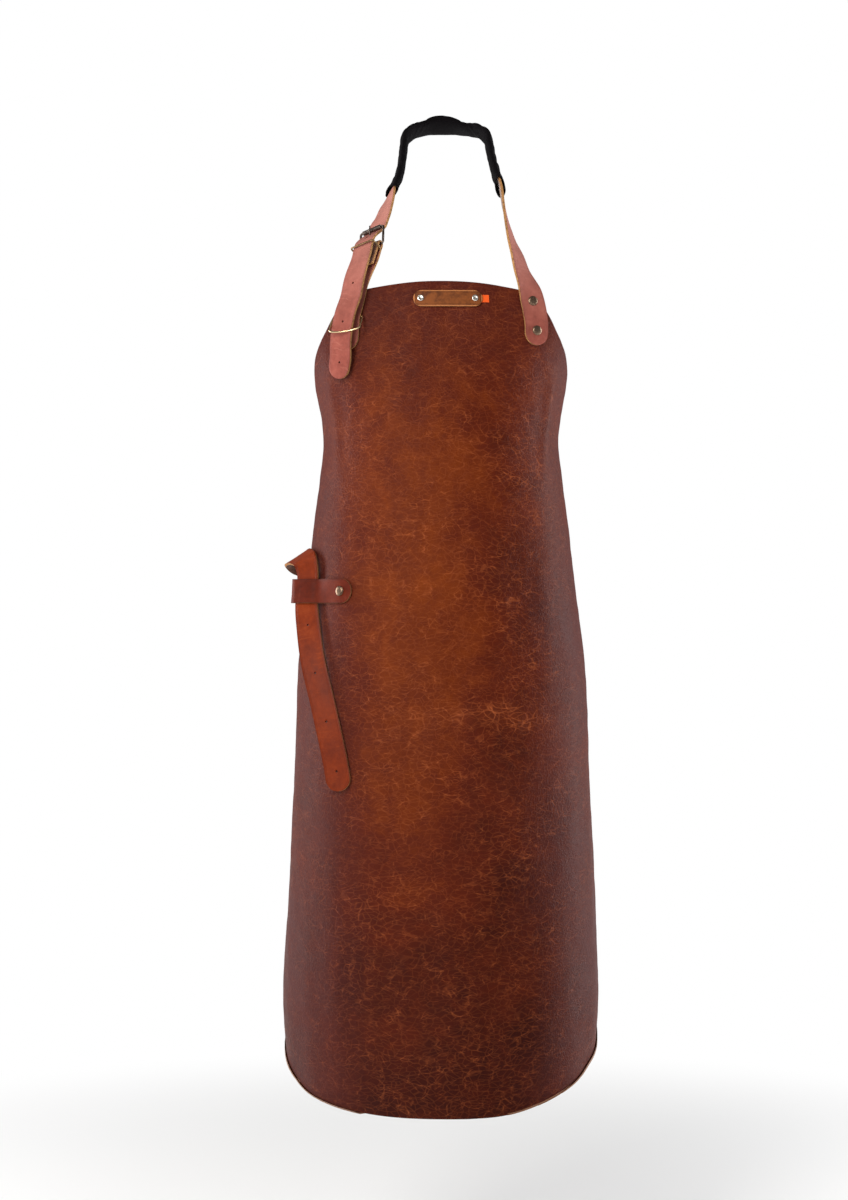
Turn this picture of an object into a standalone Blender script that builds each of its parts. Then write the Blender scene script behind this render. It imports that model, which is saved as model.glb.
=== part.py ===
"""A leather work apron in its worn shape, held by an adjustable neck strap and a waist strap.

The frame is +Z up with the wearer facing -Y. Its origin is on the under face of the neck sleeve,
where the loop bears on the nape. Places on the body are written from the wearer's own axis and
are moved to that frame by worn().
"""
from math import cos, pi, radians, sin, sqrt, tan

import bmesh
import bpy
from mathutils import Matrix, Vector
from mathutils.bvhtree import BVHTree

# ---------------------------------------------------------------- clearances
GAP = 0.0003                  # between pieces that touch
DRAPE = 0.0010                # under the middle of a strap that lies on the curved hide

# ---------------------------------------------------------------- apron hide
HIDE_LENGTH = 1.010           # bib top to hem at the front centre
HIDE_WIDTH = 0.700            # cut width at the waist and below
HIDE_THICKNESS = 0.0022
BIB_HALF_WIDTH = 0.100
BIB_TOP_BOW = 0.011           # how far the bib's top corners lie below its middle
HEM_RISE = 0.060              # how far the hem climbs from its middle to its rear corners
HEM_CORNER = 0.070
HIDE_COLUMNS = 26
ARMHOLE = (                   # (drop below the bib top, growth of the half width)
    (0.000, 0.000), (0.014, 0.020), (0.055, 0.050), (0.090, 0.078),
    (0.150, 0.135), (0.200, 0.190), (0.250, 0.232), (0.290, 0.250),
)

# ---------------------------------------------------------------- body form under the hide
BIB_TOP = -0.216              # height of the bib's top edge on the body axis
BODY_SQUARENESS = 2.2         # exponent of the sections' superellipse
BODY_SECTIONS = (             # (drop below the bib top, half width, half depth)
    (0.00, 0.200, 0.088), (0.07, 0.186, 0.103), (0.10, 0.167, 0.108), (0.15, 0.153, 0.113),
    (0.19, 0.148, 0.117), (0.24, 0.153, 0.119), (0.30, 0.161, 0.122), (0.38, 0.170, 0.127),
    (0.46, 0.180, 0.131), (0.62, 0.186, 0.141), (0.80, 0.194, 0.154), (0.90, 0.199, 0.162),
    (1.01, 0.200, 0.172),
)

# ---------------------------------------------------------------- straps
STRAP_THICKNESS = 0.003
NECK_STRAP_WIDTH = 0.030
WAIST_STRAP_WIDTH = 0.031
BUCKLE_STRAP_THICKNESS = 0.0025
BUCKLE_STRAP_WIDTH = NECK_STRAP_WIDTH
HOLE_RADIUS = 0.0014
NECK_HOLE_PITCH = 0.050
WAIST_HOLE_PITCH = 0.062
ROW_PITCH = 0.0080            # length of a strap between the cross lines of its mesh

# ---------------------------------------------------------------- neck sleeve
SLEEVE_WIDTH = NECK_STRAP_WIDTH + 0.009
SLEEVE_DEPTH = STRAP_THICKNESS + 0.0056
SLEEVE_WALL = 0.0012
NAPE_TILT = radians(15)       # the sleeve's back edge lies lower than its front edge
NAPE_HEIGHT = Vector((0.0, 0.067, 0.0075))

# ---------------------------------------------------------------- buckles, keepers and ring
WIRE_RADIUS = 0.0015
FRAME_INNER_WIDTH = max(NECK_STRAP_WIDTH, WAIST_STRAP_WIDTH) + 0.003
FRAME_LENGTH = 0.0240         # heel bar to roller, centre to centre
FRAME_CORNER = 0.0025
FRAME_TILT = radians(17)      # the frame leans out of the strap's plane
ROLLER_RADIUS = 0.00275
ROLLER_LENGTH = FRAME_INNER_WIDTH - 0.005
TONGUE_RADIUS = 0.0012
TONGUE_OVERHANG = 0.0030
SLOT_WIDTH = 2 * TONGUE_RADIUS + 0.0022
SLOT_LENGTH = 0.0165
STRAP_ARCH = 0.0068           # how high the main strap stands over the fold, to cross the heel bar
KEEPER_RADIUS = 0.0011
KEEPER_CORNER = 0.0028
KEEPER_PLAY = 0.0016          # between the keeper's front bar and the strap under it
KEEPER_PLACE = 0.0100         # below the heel bar
FOLD_LENGTH = 0.036
FOLD_RIVET_PLACE = 0.024
RING_INNER_WIDTH = NECK_STRAP_WIDTH + 0.0075
RING_CORNER = 0.003
RING_LEG = STRAP_THICKNESS + 0.0182
RING_BOW = 0.0065
RING_OFFSET = -0.0022         # towards the flank, as the strap's tail lies there
RING_SKEW = radians(12)
RING_DROOP = radians(52)

# ---------------------------------------------------------------- rivets
CAP_RADIUS = 0.0060
CAP_HEIGHT = 0.0022
EYELET_RADIUS = 0.0040
EYELET_HEIGHT = 0.0014
POST_RADIUS = 0.0015
POST_ENTRY = 0.0009           # how far a post reaches into its cap
POST_FLANGE = 0.0009
HOLE_CUT = 0.01               # depth of the cutters for the strap holes
SLOT_CUT = 0.014
TURN_STEPS = 10

# ---------------------------------------------------------------- label, tag and side loop
LABEL_LENGTH = 0.084
LABEL_WIDTH = 0.0205
LABEL_THICKNESS = 0.0020
LABEL_CENTRE = 0.0075
LABEL_DROP = 0.0225
LABEL_RIVET_SPAN = 0.066
TAG_THICKNESS = 0.0008
TAG_HEIGHT = 0.0095
TAG_SHOW = 0.0085
LOOP_WIDTH = 0.030
LOOP_THICKNESS = 0.0025
BELT_HEIGHT = -0.5636
LOOP_HEIGHT = -0.5970
TAIL_START = 0.0045           # the loose end bends this far below the side loop's edge
BACK_BOW = 0.030

# ---------------------------------------------------------------- finishes: colour, roughness, metal
FINISHES = {
    "hide_leather": ((0.130, 0.038, 0.018), 0.50, 0.0),
    "strap_leather": ((0.360, 0.125, 0.085), 0.45, 0.0),
    "belt_leather": ((0.300, 0.075, 0.035), 0.45, 0.0),
    "label_leather": ((0.250, 0.100, 0.035), 0.55, 0.0),
    "sleeve_fabric": ((0.010, 0.009, 0.010), 0.90, 0.0),
    "tag_fabric": ((0.850, 0.120, 0.010), 0.80, 0.0),
    "antique_nickel": ((0.180, 0.140, 0.110), 0.35, 1.0),
    "antique_brass": ((0.270, 0.200, 0.120), 0.38, 1.0),
    "polished_brass": ((0.620, 0.480, 0.260), 0.25, 1.0),
    "bright_nickel": ((0.720, 0.690, 0.640), 0.25, 1.0),
}


def worn(x, y, z):
    """Gives a place on the body in the part's frame, whose origin is under the sleeve at the nape."""
    out_of_nape = Vector((0.0, sin(NAPE_TILT), cos(NAPE_TILT)))
    return Vector((x, y, z)) - NAPE_HEIGHT + out_of_nape * (SLEEVE_DEPTH / 2)


# ================================================================ scene and objects
def clear_scene():
    for item in list(bpy.data.objects):
        bpy.data.objects.remove(item, do_unlink=True)
    for group in list(bpy.data.collections):
        bpy.data.collections.remove(group)


def collection(name):
    group = bpy.data.collections.new(name)
    bpy.context.scene.collection.children.link(group)
    return group


def finish(name):
    """Returns the named finish as a material, made once."""
    material = bpy.data.materials.get(name)
    if material is None:
        colour, roughness, metallic = FINISHES[name]
        material = bpy.data.materials.new(name)
        material.use_nodes = True
        shader = material.node_tree.nodes["Principled BSDF"]
        shader.inputs["Base Color"].default_value = (*colour, 1.0)
        shader.inputs["Roughness"].default_value = roughness
        shader.inputs["Metallic"].default_value = metallic
    return material


def add_object(name, data, finish_name, place=None):
    item = bpy.data.objects.new(name, data)
    item.data.materials.append(finish(finish_name))
    PIECES.objects.link(item)
    if place is not None:
        item.matrix_world = place
    return item


def mesh_from(bm, name):
    mesh = bpy.data.meshes.new(name)
    bm.to_mesh(mesh)
    bm.free()
    return mesh


def solidify(item, thickness, side=0.0):
    """Gives a sheet its thickness: side 0 about the sheet, 1 on the side that its faces look to."""
    modifier = item.modifiers.new("thickness", "SOLIDIFY")
    modifier.thickness = thickness
    modifier.offset = side


def cut(item, cutters):
    """Cuts a list of bmesh-making functions' shapes out of a piece."""
    if not cutters:
        return
    bm = bmesh.new()
    for make in cutters:
        make(bm)
    tool = bpy.data.objects.new(item.name + "_cutter", mesh_from(bm, item.name + "_cutter"))
    tool.hide_render = True
    tool.display_type = "WIRE"
    CUTTERS.objects.link(tool)
    modifier = item.modifiers.new("holes", "BOOLEAN")
    modifier.operation = "DIFFERENCE"
    modifier.solver = "EXACT"
    modifier.object = tool


def round_cutter(place, radius, depth):
    """Makes a cylinder along the place's Z, half its depth to each side."""
    def make(bm):
        bmesh.ops.create_cone(bm, cap_ends=True, segments=12, radius1=radius, radius2=radius,
                              depth=depth, matrix=place)
    return make


def box_cutter(place, width, length, depth):
    def make(bm):
        bmesh.ops.create_cube(bm, size=1.0, matrix=place @ Matrix.Diagonal((width, length, depth, 1)))
    return make


# ================================================================ curves through chosen points
def through(places, values, place):
    """Reads a smooth curve through values at the given places, with no overshoot at uneven steps."""
    last = len(places) - 1
    span = max(i for i in range(last) if places[i] <= place or i == 0)
    steps = [places[i + 1] - places[i] for i in range(last)]
    speeds = [(values[i + 1] - values[i]) / steps[i] for i in range(last)]

    def slope(i):
        if i == 0:
            return speeds[0]
        if i == last:
            return speeds[-1]
        before, after = steps[i - 1], steps[i]
        return (speeds[i - 1] * after + speeds[i] * before) / (before + after)

    step = steps[span]
    t = min(1.0, (place - places[span]) / step)
    return (values[span] * (2 * t ** 3 - 3 * t ** 2 + 1) + slope(span) * (step * (t ** 3 - 2 * t ** 2 + t))
            + values[span + 1] * (3 * t ** 2 - 2 * t ** 3) + slope(span + 1) * (step * (t ** 3 - t ** 2)))


class Route:
    """The centre line of a strap with the direction across it, read by length from its first end."""

    SAMPLES = 10              # between two stations

    def __init__(self, stations):
        points = [Vector(point) for point, _ in stations]
        sides = [Vector(side).normalized() for _, side in stations]
        marks = [0.0]
        for before, after in zip(points, points[1:]):
            marks.append(marks[-1] + (after - before).length)
        places = [marks[i] + (marks[i + 1] - marks[i]) * k / self.SAMPLES
                  for i in range(len(marks) - 1) for k in range(self.SAMPLES)] + [marks[-1]]
        self.points = [through(marks, points, place) for place in places]
        self.sides = [through(marks, sides, place) for place in places]
        self.lengths = [0.0]
        for before, after in zip(self.points, self.points[1:]):
            self.lengths.append(self.lengths[-1] + (after - before).length)
        self.stations = [self.lengths[i * self.SAMPLES] for i in range(len(stations))]
        self.length = self.lengths[-1]

    def _read(self, values, distance):
        distance = min(max(distance, 0.0), self.length)
        index = max(i for i in range(len(self.lengths) - 1) if self.lengths[i] <= distance or i == 0)
        share = (distance - self.lengths[index]) / (self.lengths[index + 1] - self.lengths[index])
        return values[index].lerp(values[index + 1], share)

    def point(self, distance):
        return self._read(self.points, distance)

    def frame(self, distance):
        """Returns the place there: X across the strap, Y along it, Z out of its face."""
        reach = 0.002
        along = (self.point(distance + reach) - self.point(distance - reach)).normalized()
        across = self._read(self.sides, distance)
        across = (across - along * across.dot(along)).normalized()
        out = across.cross(along)
        place = Matrix((across, along, out)).transposed().to_4x4()
        place.translation = self.point(distance)
        return place


def strap_rows(start, end, width, round_start, round_end, kept=()):
    """Lists (distance, share of the width) down a strap, closer together round an end."""
    turns = [radians(a) for a in (22, 40, 60, 78)]
    radius = width / 2
    rows = []
    first, final = start, end
    if round_start:
        rows += [(start + radius * (1 - cos(turn)), sin(turn)) for turn in turns]
        first = start + radius
    if round_end:
        final = end - radius
    marks = sorted({first, final, *[mark for mark in kept if first < mark < final]})
    for near, far in zip(marks, marks[1:]):
        count = max(1, round((far - near) / ROW_PITCH))
        rows += [(near + (far - near) * k / count, 1.0) for k in range(count)]
    rows.append((final, 1.0))
    if round_end:
        rows += [(end - radius * (1 - cos(turn)), sin(turn)) for turn in reversed(turns)]
    return rows


def strap(name, route, width, thickness, finish_name, start=0.0, end=None, round_start=False,
          round_end=False, cutters=(), pivot=None):
    """Makes a flat strap along a route, with holes; its origin is at the pivot, if it has one."""
    end = route.length if end is None else end
    pivot = Matrix.Identity(4) if pivot is None else pivot
    to_pivot = pivot.inverted()
    rows = strap_rows(start, end, width, round_start, round_end, route.stations)
    bm = bmesh.new()
    bmesh.ops.create_grid(bm, x_segments=2, y_segments=len(rows) - 1, size=0.5)
    for vert in bm.verts:
        distance, share = rows[round((vert.co.y + 0.5) * (len(rows) - 1))]
        vert.co = to_pivot @ route.frame(distance) @ Vector((vert.co.x * width * share, 0.0, 0.0))
    item = add_object(name, mesh_from(bm, name), finish_name, pivot)
    solidify(item, thickness)
    cut(item, list(cutters))


# ================================================================ body form and hide
def section(height):
    """Gives the half width and half depth of the body at a height on its axis."""
    drops = [row[0] for row in BODY_SECTIONS]
    drop = min(max(BIB_TOP - height, 0.0), drops[-1])
    return tuple(through(drops, [row[k] for row in BODY_SECTIONS], drop) for k in (1, 2))


def outline(height, turn):
    """Gives the section's point at a turn from the front centre, and its outward direction."""
    half_width, half_depth = section(height)
    power = 2.0 / BODY_SQUARENESS
    sine, cosine = sin(turn), cos(turn)
    x = half_width * abs(sine) ** power
    y = -half_depth * abs(cosine) ** power * (1 if cosine >= 0 else -1)
    grip = BODY_SQUARENESS - 1
    out = Vector((abs(x / half_width) ** grip / half_width,
                  (1 if y >= 0 else -1) * abs(y / half_depth) ** grip / half_depth, 0.0))
    return Vector((x, y, height)), out.normalized()


def girth_turn(height, distance):
    """Finds the turn whose length round the section from the front centre is the distance."""
    steps = 180
    walked = 0.0
    here, _ = outline(height, 0.0)
    for k in range(1, steps + 1):
        turn = pi * k / steps
        there, _ = outline(height, turn)
        step = (there - here).length
        if walked + step >= distance:
            return pi * (k - 1 + (distance - walked) / step) / steps
        walked += step
        here = there
    return pi


def on_girth(distance, height, lift=0.0):
    """Gives a place by its length round the body from the front centre, and its outward direction."""
    point, out = outline(height, girth_turn(height, abs(distance)))
    if distance < 0:
        point.x, out.x = -point.x, -out.x
    return worn(*(point + out * lift)), out


def up_girth(distance, height):
    """Gives the direction up the body's surface at a place on its girth."""
    reach = 0.006
    return (on_girth(distance, height + reach)[0] - on_girth(distance, height - reach)[0]).normalized()


def on_front(share, height, lift=0.0):
    """Gives a place on the body's front by its share of the half width, and its outward direction."""
    half_width, half_depth = section(height)
    power = 1 / BODY_SQUARENESS
    y = -half_depth * (1 - abs(share) ** BODY_SQUARENESS) ** power
    grip = BODY_SQUARENESS - 1
    out = Vector(((1 if share > 0 else -1) * abs(share) ** grip / half_width,
                  -abs(y / half_depth) ** grip / half_depth, 0.0)).normalized()
    return worn(*(Vector((share * half_width, y, height)) + out * lift)), out


def hide_half_width(drop):
    """Gives the cut half width at a drop below the bib top, with the rounded hem corner."""
    full = HIDE_WIDTH / 2
    grown = through([row[0] for row in ARMHOLE], [row[1] for row in ARMHOLE], min(drop, ARMHOLE[-1][0]))
    half = BIB_HALF_WIDTH + grown / ARMHOLE[-1][1] * (full - BIB_HALF_WIDTH)
    into_corner = drop - (HIDE_LENGTH - HEM_CORNER)
    if into_corner > 0:
        half -= HEM_CORNER - sqrt(max(HEM_CORNER ** 2 - into_corner ** 2, 0.0))
    return half


def hide_rows():
    """Lists the drops of the hide's cross lines: close at the armholes and the hem corners."""
    armhole = [ARMHOLE[-1][0] * k / 12 for k in range(12)]
    corner_start = HIDE_LENGTH - HEM_CORNER
    skirt = [ARMHOLE[-1][0] + (corner_start - ARMHOLE[-1][0]) * k / 9 for k in range(9)]
    corner = [corner_start + HEM_CORNER * sin(radians(a)) for a in (0, 25, 47, 66, 80, 90)]
    return armhole + skirt + corner


def hide_sheet():
    """Maps a grid to the hide's inner face, and returns it as a bmesh."""
    rows = hide_rows()
    bm = bmesh.new()
    bmesh.ops.create_grid(bm, x_segments=HIDE_COLUMNS, y_segments=len(rows) - 1, size=0.5)
    for vert in bm.verts:
        share = vert.co.x * 2
        drop = rows[round((0.5 - vert.co.y) * (len(rows) - 1))]
        down = drop / HIDE_LENGTH
        height = BIB_TOP - drop - BIB_TOP_BOW * share ** 2 * (1 - down)
        height += HEM_RISE * abs(share) ** 2.5 * down ** 3
        vert.co, _ = on_girth(share * hide_half_width(drop), height)
    bmesh.ops.recalc_face_normals(bm, faces=bm.faces)
    middle = min(bm.faces, key=lambda face: face.calc_center_median().y)
    if middle.normal.y > 0:
        bmesh.ops.reverse_faces(bm, faces=bm.faces)
    return bm


class Hide:
    """The apron hide, and the flat facets that its fastenings sit on."""

    def __init__(self):
        bm = hide_sheet()
        self.facets = BVHTree.FromBMesh(bm)
        self.mesh = mesh_from(bm, "apron_panel")
        self.holes = []

    def facet(self, point):
        """Returns the spot on the inner face nearest to a point, and the facet's direction there."""
        spot, normal, _, _ = self.facets.find_nearest(point)
        return spot, normal

    def build(self):
        item = add_object("apron_panel", self.mesh, "hide_leather")
        solidify(item, HIDE_THICKNESS, side=1.0)
        cut(item, self.holes)


# ================================================================ rivets
def turned(name, profile, finish_name, place):
    """Turns a profile of (radius, height) points about the place's Z."""
    bm = bmesh.new()
    verts = [bm.verts.new((radius, 0.0, height)) for radius, height in profile]
    for before, after in zip(verts, verts[1:]):
        bm.edges.new((before, after))
    item = add_object(name, mesh_from(bm, name), finish_name, place)
    modifier = item.modifiers.new("turn", "SCREW")
    modifier.steps = TURN_STEPS
    modifier.render_steps = TURN_STEPS
    modifier.use_merge_vertices = True
    modifier.merge_threshold = 0.00001
    modifier.use_smooth_shade = True
    return item


def cap_profile(radius, height):
    pocket = POST_RADIUS + GAP
    return [(0.0, height), (radius * 0.45, height * 0.93), (radius * 0.78, height * 0.68),
            (radius, height * 0.22), (radius, 0.0), (pocket, 0.0), (pocket, POST_ENTRY),
            (0.0, POST_ENTRY)]


def post_profile(grip, radius):
    foot = -grip - GAP
    return [(0.0, POST_ENTRY - GAP), (POST_RADIUS, POST_ENTRY - GAP), (POST_RADIUS, foot),
            (radius, foot), (radius, foot - POST_FLANGE * 0.6), (radius * 0.7, foot - POST_FLANGE),
            (0.0, foot - POST_FLANGE)]


def rivet(name, outer_face, grip, radius=CAP_RADIUS, height=CAP_HEIGHT, finish_name="antique_nickel"):
    """Sets a cap on the outer face and its post through the grip; returns the hole's cutter."""
    seat = outer_face @ Matrix.Translation((0, 0, GAP))
    turned(name + "_cap", cap_profile(radius, height), finish_name, seat)
    turned(name + "_post", post_profile(grip + GAP, radius * 0.7), finish_name, seat)
    middle = outer_face @ Matrix.Translation((0, 0, -grip / 2))
    return round_cutter(middle, POST_RADIUS + GAP, grip + 0.004)


def panel_rivet(name, hide, strap_place, strap_face, **look):
    """Rivets a strap to the hide: the post stands square to the strap at its place."""
    spot, normal = hide.facet(strap_place.translation)
    out = strap_place.col[2].xyz
    outer_face = strap_place @ Matrix.Translation((0, 0, strap_face))
    facet_slack = GAP + CAP_RADIUS * sin(out.angle(normal))
    grip = (strap_place.translation - spot).dot(out) + strap_face
    hole = rivet(name, outer_face, grip + facet_slack, **look)
    hide.holes.append(hole)
    return hole


# ================================================================ wire work
def wire(name, points, radius, finish_name, place, closed=True):
    """Bends round wire along points in the place's own frame."""
    data = bpy.data.curves.new(name, "CURVE")
    data.dimensions = "3D"
    data.bevel_depth = radius
    data.bevel_resolution = 2
    data.use_fill_caps = True
    spline = data.splines.new("POLY")
    spline.points.add(len(points) - 1)
    for spot, point in zip(spline.points, points):
        spot.co = (*point, 1.0)
    spline.use_cyclic_u = closed
    return add_object(name, data, finish_name, place)


def corner(centre_x, centre_y, radius, from_angle, steps=3):
    """Lists a quarter turn of wire about a corner's centre, anticlockwise from an angle."""
    angles = [from_angle + pi / 2 * k / steps for k in range(steps + 1)]
    return [(centre_x + radius * cos(a), centre_y + radius * sin(a)) for a in angles]


def rounded_rectangle(half_width, low, high, radius):
    """Lists a closed rectangle of wire, |x| to half_width and y from low to high."""
    x, bottom, top = half_width - radius, low + radius, high - radius
    return (corner(x, top, radius, 0) + corner(-x, top, radius, pi / 2)
            + corner(-x, bottom, radius, pi) + corner(x, bottom, radius, 3 * pi / 2))


class Buckle:
    """A roller buckle on its folded strap. Its place has X across, Y up the strap, Z out of it."""

    def __init__(self, prefix, place, strap_finish, metal):
        self.prefix, self.place = prefix, place
        self.strap_finish, self.metal = strap_finish, metal
        self.layer = WIRE_RADIUS + GAP + BUCKLE_STRAP_THICKNESS / 2
        self.arch = self.layer + BUCKLE_STRAP_THICKNESS / 2 + STRAP_ARCH + STRAP_THICKNESS / 2
        self.frame_place = place @ Matrix.Rotation(FRAME_TILT, 4, "X")

    def at(self, up, out):
        """Gives a point on the strap's middle line by its place above the heel bar."""
        return self.place @ Vector((0.0, up, out))

    def side(self):
        """The direction across a strap that comes down through this buckle."""
        return -self.place.col[0].xyz

    def main_strap_stations(self):
        """The main strap goes behind the roller, over the fold and down through the keeper."""
        behind = ROLLER_RADIUS + 2 * GAP + STRAP_THICKNESS / 2
        roller_up = FRAME_LENGTH * cos(FRAME_TILT)
        roller_out = FRAME_LENGTH * sin(FRAME_TILT)
        spots = [(roller_up + 0.006, roller_out - behind - 0.0016), (roller_up, roller_out - behind),
                 (0.0145, 0.0062), (0.0065, 0.0100), (-0.001, self.arch), (-0.010, self.arch + 0.0002),
                 (-0.021, self.arch - 0.0008)]
        return [(self.at(up, out), self.side()) for up, out in spots]

    def fold_stations(self):
        """The buckle strap's last stretch: up behind the heel bar, round it and down in front."""
        turns = [radians(a) for a in (-90, -60, -30, 0, 30, 60, 90)]
        bend = [(self.layer * cos(a), self.layer * sin(a)) for a in turns]
        spots = [(-0.024, -self.layer), (-0.010, -self.layer)] + bend
        spots += [(-0.010, self.layer), (-0.024, self.layer), (-FOLD_LENGTH, self.layer)]
        return [(self.at(up, out), -self.side()) for up, out in spots]

    def buckle_strap(self, stations, cutters):
        """Makes the folded strap, slotted for the tongue and riveted below the keeper."""
        route = Route(stations + self.fold_stations())
        slot = box_cutter(self.place @ Matrix.Translation((0, -0.0015, 0)), SLOT_WIDTH, 0.016, SLOT_CUT)
        outer = self.place @ Matrix.Translation((0, -FOLD_RIVET_PLACE,
                                                 self.layer + BUCKLE_STRAP_THICKNESS / 2))
        grip = 2 * self.layer + BUCKLE_STRAP_THICKNESS
        hole = rivet(self.prefix + "_fold_rivet", outer, grip, EYELET_RADIUS, EYELET_HEIGHT)
        strap(self.prefix + "_buckle_strap", route, BUCKLE_STRAP_WIDTH, BUCKLE_STRAP_THICKNESS,
              self.strap_finish, round_start=True, cutters=[slot, hole, *cutters(route)])
        return route

    def hardware(self):
        half = FRAME_INNER_WIDTH / 2 + WIRE_RADIUS
        loop = [(x, y, 0.0) for x, y in rounded_rectangle(half, 0.0, FRAME_LENGTH, FRAME_CORNER)]
        wire(self.prefix + "_buckle_frame", loop, WIRE_RADIUS, self.metal, self.frame_place)
        self.roller()
        self.tongue()
        self.keeper()

    def roller(self):
        bore = WIRE_RADIUS + GAP
        half = ROLLER_LENGTH / 2
        place = self.frame_place @ Matrix.Translation((0, FRAME_LENGTH, 0))
        edge = 0.0004
        profile = [(bore, half), (ROLLER_RADIUS - edge, half), (ROLLER_RADIUS, half - edge),
                   (ROLLER_RADIUS, -half + edge), (ROLLER_RADIUS - edge, -half), (bore, -half), (bore, half)]
        turned(self.prefix + "_buckle_roller", profile, self.metal, place @ Matrix.Rotation(pi / 2, 4, "Y"))

    def tongue(self):
        """A wire hooked round the heel bar, lying on the roller."""
        ring = WIRE_RADIUS + 2 * GAP + TONGUE_RADIUS
        rest = ROLLER_RADIUS + 2 * GAP + TONGUE_RADIUS
        lean = (rest - ring) / FRAME_LENGTH
        tip = FRAME_LENGTH + TONGUE_OVERHANG
        turns = [radians(-250 + 25 * k) for k in range(11)]
        points = [(0.0, ring * sin(a), ring * cos(a)) for a in turns]
        points += [(0.0, tip * 0.5, ring + lean * tip * 0.5), (0.0, tip, ring + lean * tip)]
        wire(self.prefix + "_buckle_tongue", points, TONGUE_RADIUS, self.metal, self.frame_place, False)

    def keeper(self):
        """A wire loop whose back bar lies in the fold and whose front bar holds the strap down."""
        half = FRAME_INNER_WIDTH / 2 + KEEPER_RADIUS - GAP
        out = self.arch + STRAP_THICKNESS / 2 + KEEPER_PLAY + KEEPER_RADIUS
        loop = [(x, 0.0, z) for x, z in rounded_rectangle(half, 0.0, out, KEEPER_CORNER)]
        place = self.place @ Matrix.Translation((0, -KEEPER_PLACE, 0))
        wire(self.prefix + "_keeper", loop, KEEPER_RADIUS, "antique_brass", place)

    def tongue_slot(self, route):
        """Cuts the main strap's slot where the tongue comes through it."""
        crossing = self.at(0.0100, 0.0082)
        near = min(range(len(route.points)), key=lambda i: (route.points[i] - crossing).length)
        return box_cutter(route.frame(route.lengths[near]), SLOT_WIDTH, SLOT_LENGTH, SLOT_CUT)


# ================================================================ neck strap
def on_bib(share, height, lift, side):
    """A station on the bib: a place clear of the hide, and the direction across a strap lying flat on it."""
    spot, out = on_front(share, height, lift)
    return spot, Vector((-out.y, out.x, 0.0)) * side


def facing(turn, side):
    """The direction across a strap whose face has turned from the front towards a side."""
    return Vector((cos(radians(turn)) * side, sin(radians(turn)), 0.0))


def neck_buckle_place():
    across = Vector((0.775, -0.600, 0.215)).normalized()
    up = Vector((0.200, 0.550, 0.810))
    up = (up - across * up.dot(across)).normalized()
    place = Matrix((across, up, across.cross(up))).transposed().to_4x4()
    place.translation = worn(-0.0866, -0.0600, -0.1697)
    return place


def neck_route(buckle):
    on_hide = HIDE_THICKNESS + DRAPE + STRAP_THICKNESS / 2
    stations = [on_bib(share, height, on_hide, 1) for share, height in (
        (0.626, -0.2950), (0.606, -0.2771), (0.562, -0.2404))]
    stations += [(on_front(0.528, -0.2218, on_hide + 0.0020)[0], facing(33, 1))]
    stations += [(worn(x, y, z), facing(turn, 1)) for x, y, z, turn in (
        (0.0989, -0.076, -0.2001, 52), (0.0937, -0.066, -0.1790, 61), (0.0873, -0.054, -0.1573, 74),
        (0.0828, -0.040, -0.1355, 81), (0.0786, -0.027, -0.1116, 89), (0.0749, -0.012, -0.0859, 90),
        (0.0700, 0.000, -0.0680, 90), (0.0662, 0.010, -0.0520, 90), (0.0631, 0.024, -0.0330, 90),
        (0.0590, 0.042, -0.0130, 90))]
    over_nape = Vector((0.0, cos(NAPE_TILT), -sin(NAPE_TILT)))
    stations += [(worn(x, y, z), over_nape) for x, y, z in (
        (0.0490, 0.056, 0.0015), (0.0360, 0.064, 0.0065), (0.0260, 0.067, 0.0075), (0.0180, 0.067, 0.0075),
        (-0.0100, 0.067, 0.0075), (-0.0180, 0.067, 0.0075), (-0.0290, 0.062, 0.0045),
        (-0.0390, 0.052, -0.0030))]
    stations += [(worn(x, y, z), facing(turn, -1)) for x, y, z, turn in (
        (-0.0455, 0.038, -0.0165, 90), (-0.0480, 0.022, -0.0336, 90), (-0.0503, 0.006, -0.0560, 90),
        (-0.0550, -0.006, -0.0750, 88), (-0.0630, -0.018, -0.0939, 80), (-0.0681, -0.030, -0.1114, 64),
        (-0.0741, -0.040, -0.1310, 54))]
    stations += buckle.main_strap_stations()
    clear = HIDE_THICKNESS + BUCKLE_STRAP_THICKNESS + CAP_HEIGHT + 5 * GAP + STRAP_THICKNESS / 2
    stations += [(on_front(share, height, clear + extra)[0], facing(turn, -1))
                 for share, height, turn, extra in (
        (-0.520, -0.2150, 35, 0.0040), (-0.545, -0.2355, 33, 0.0040), (-0.580, -0.2557, 33, 0.0055),
        (-0.612, -0.2757, 33, 0.0055), (-0.655, -0.2955, 33, 0.0035), (-0.700, -0.3120, 33, 0.0015),
        (-0.770, -0.3350, 36, 0.0))]
    return Route(stations)


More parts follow.
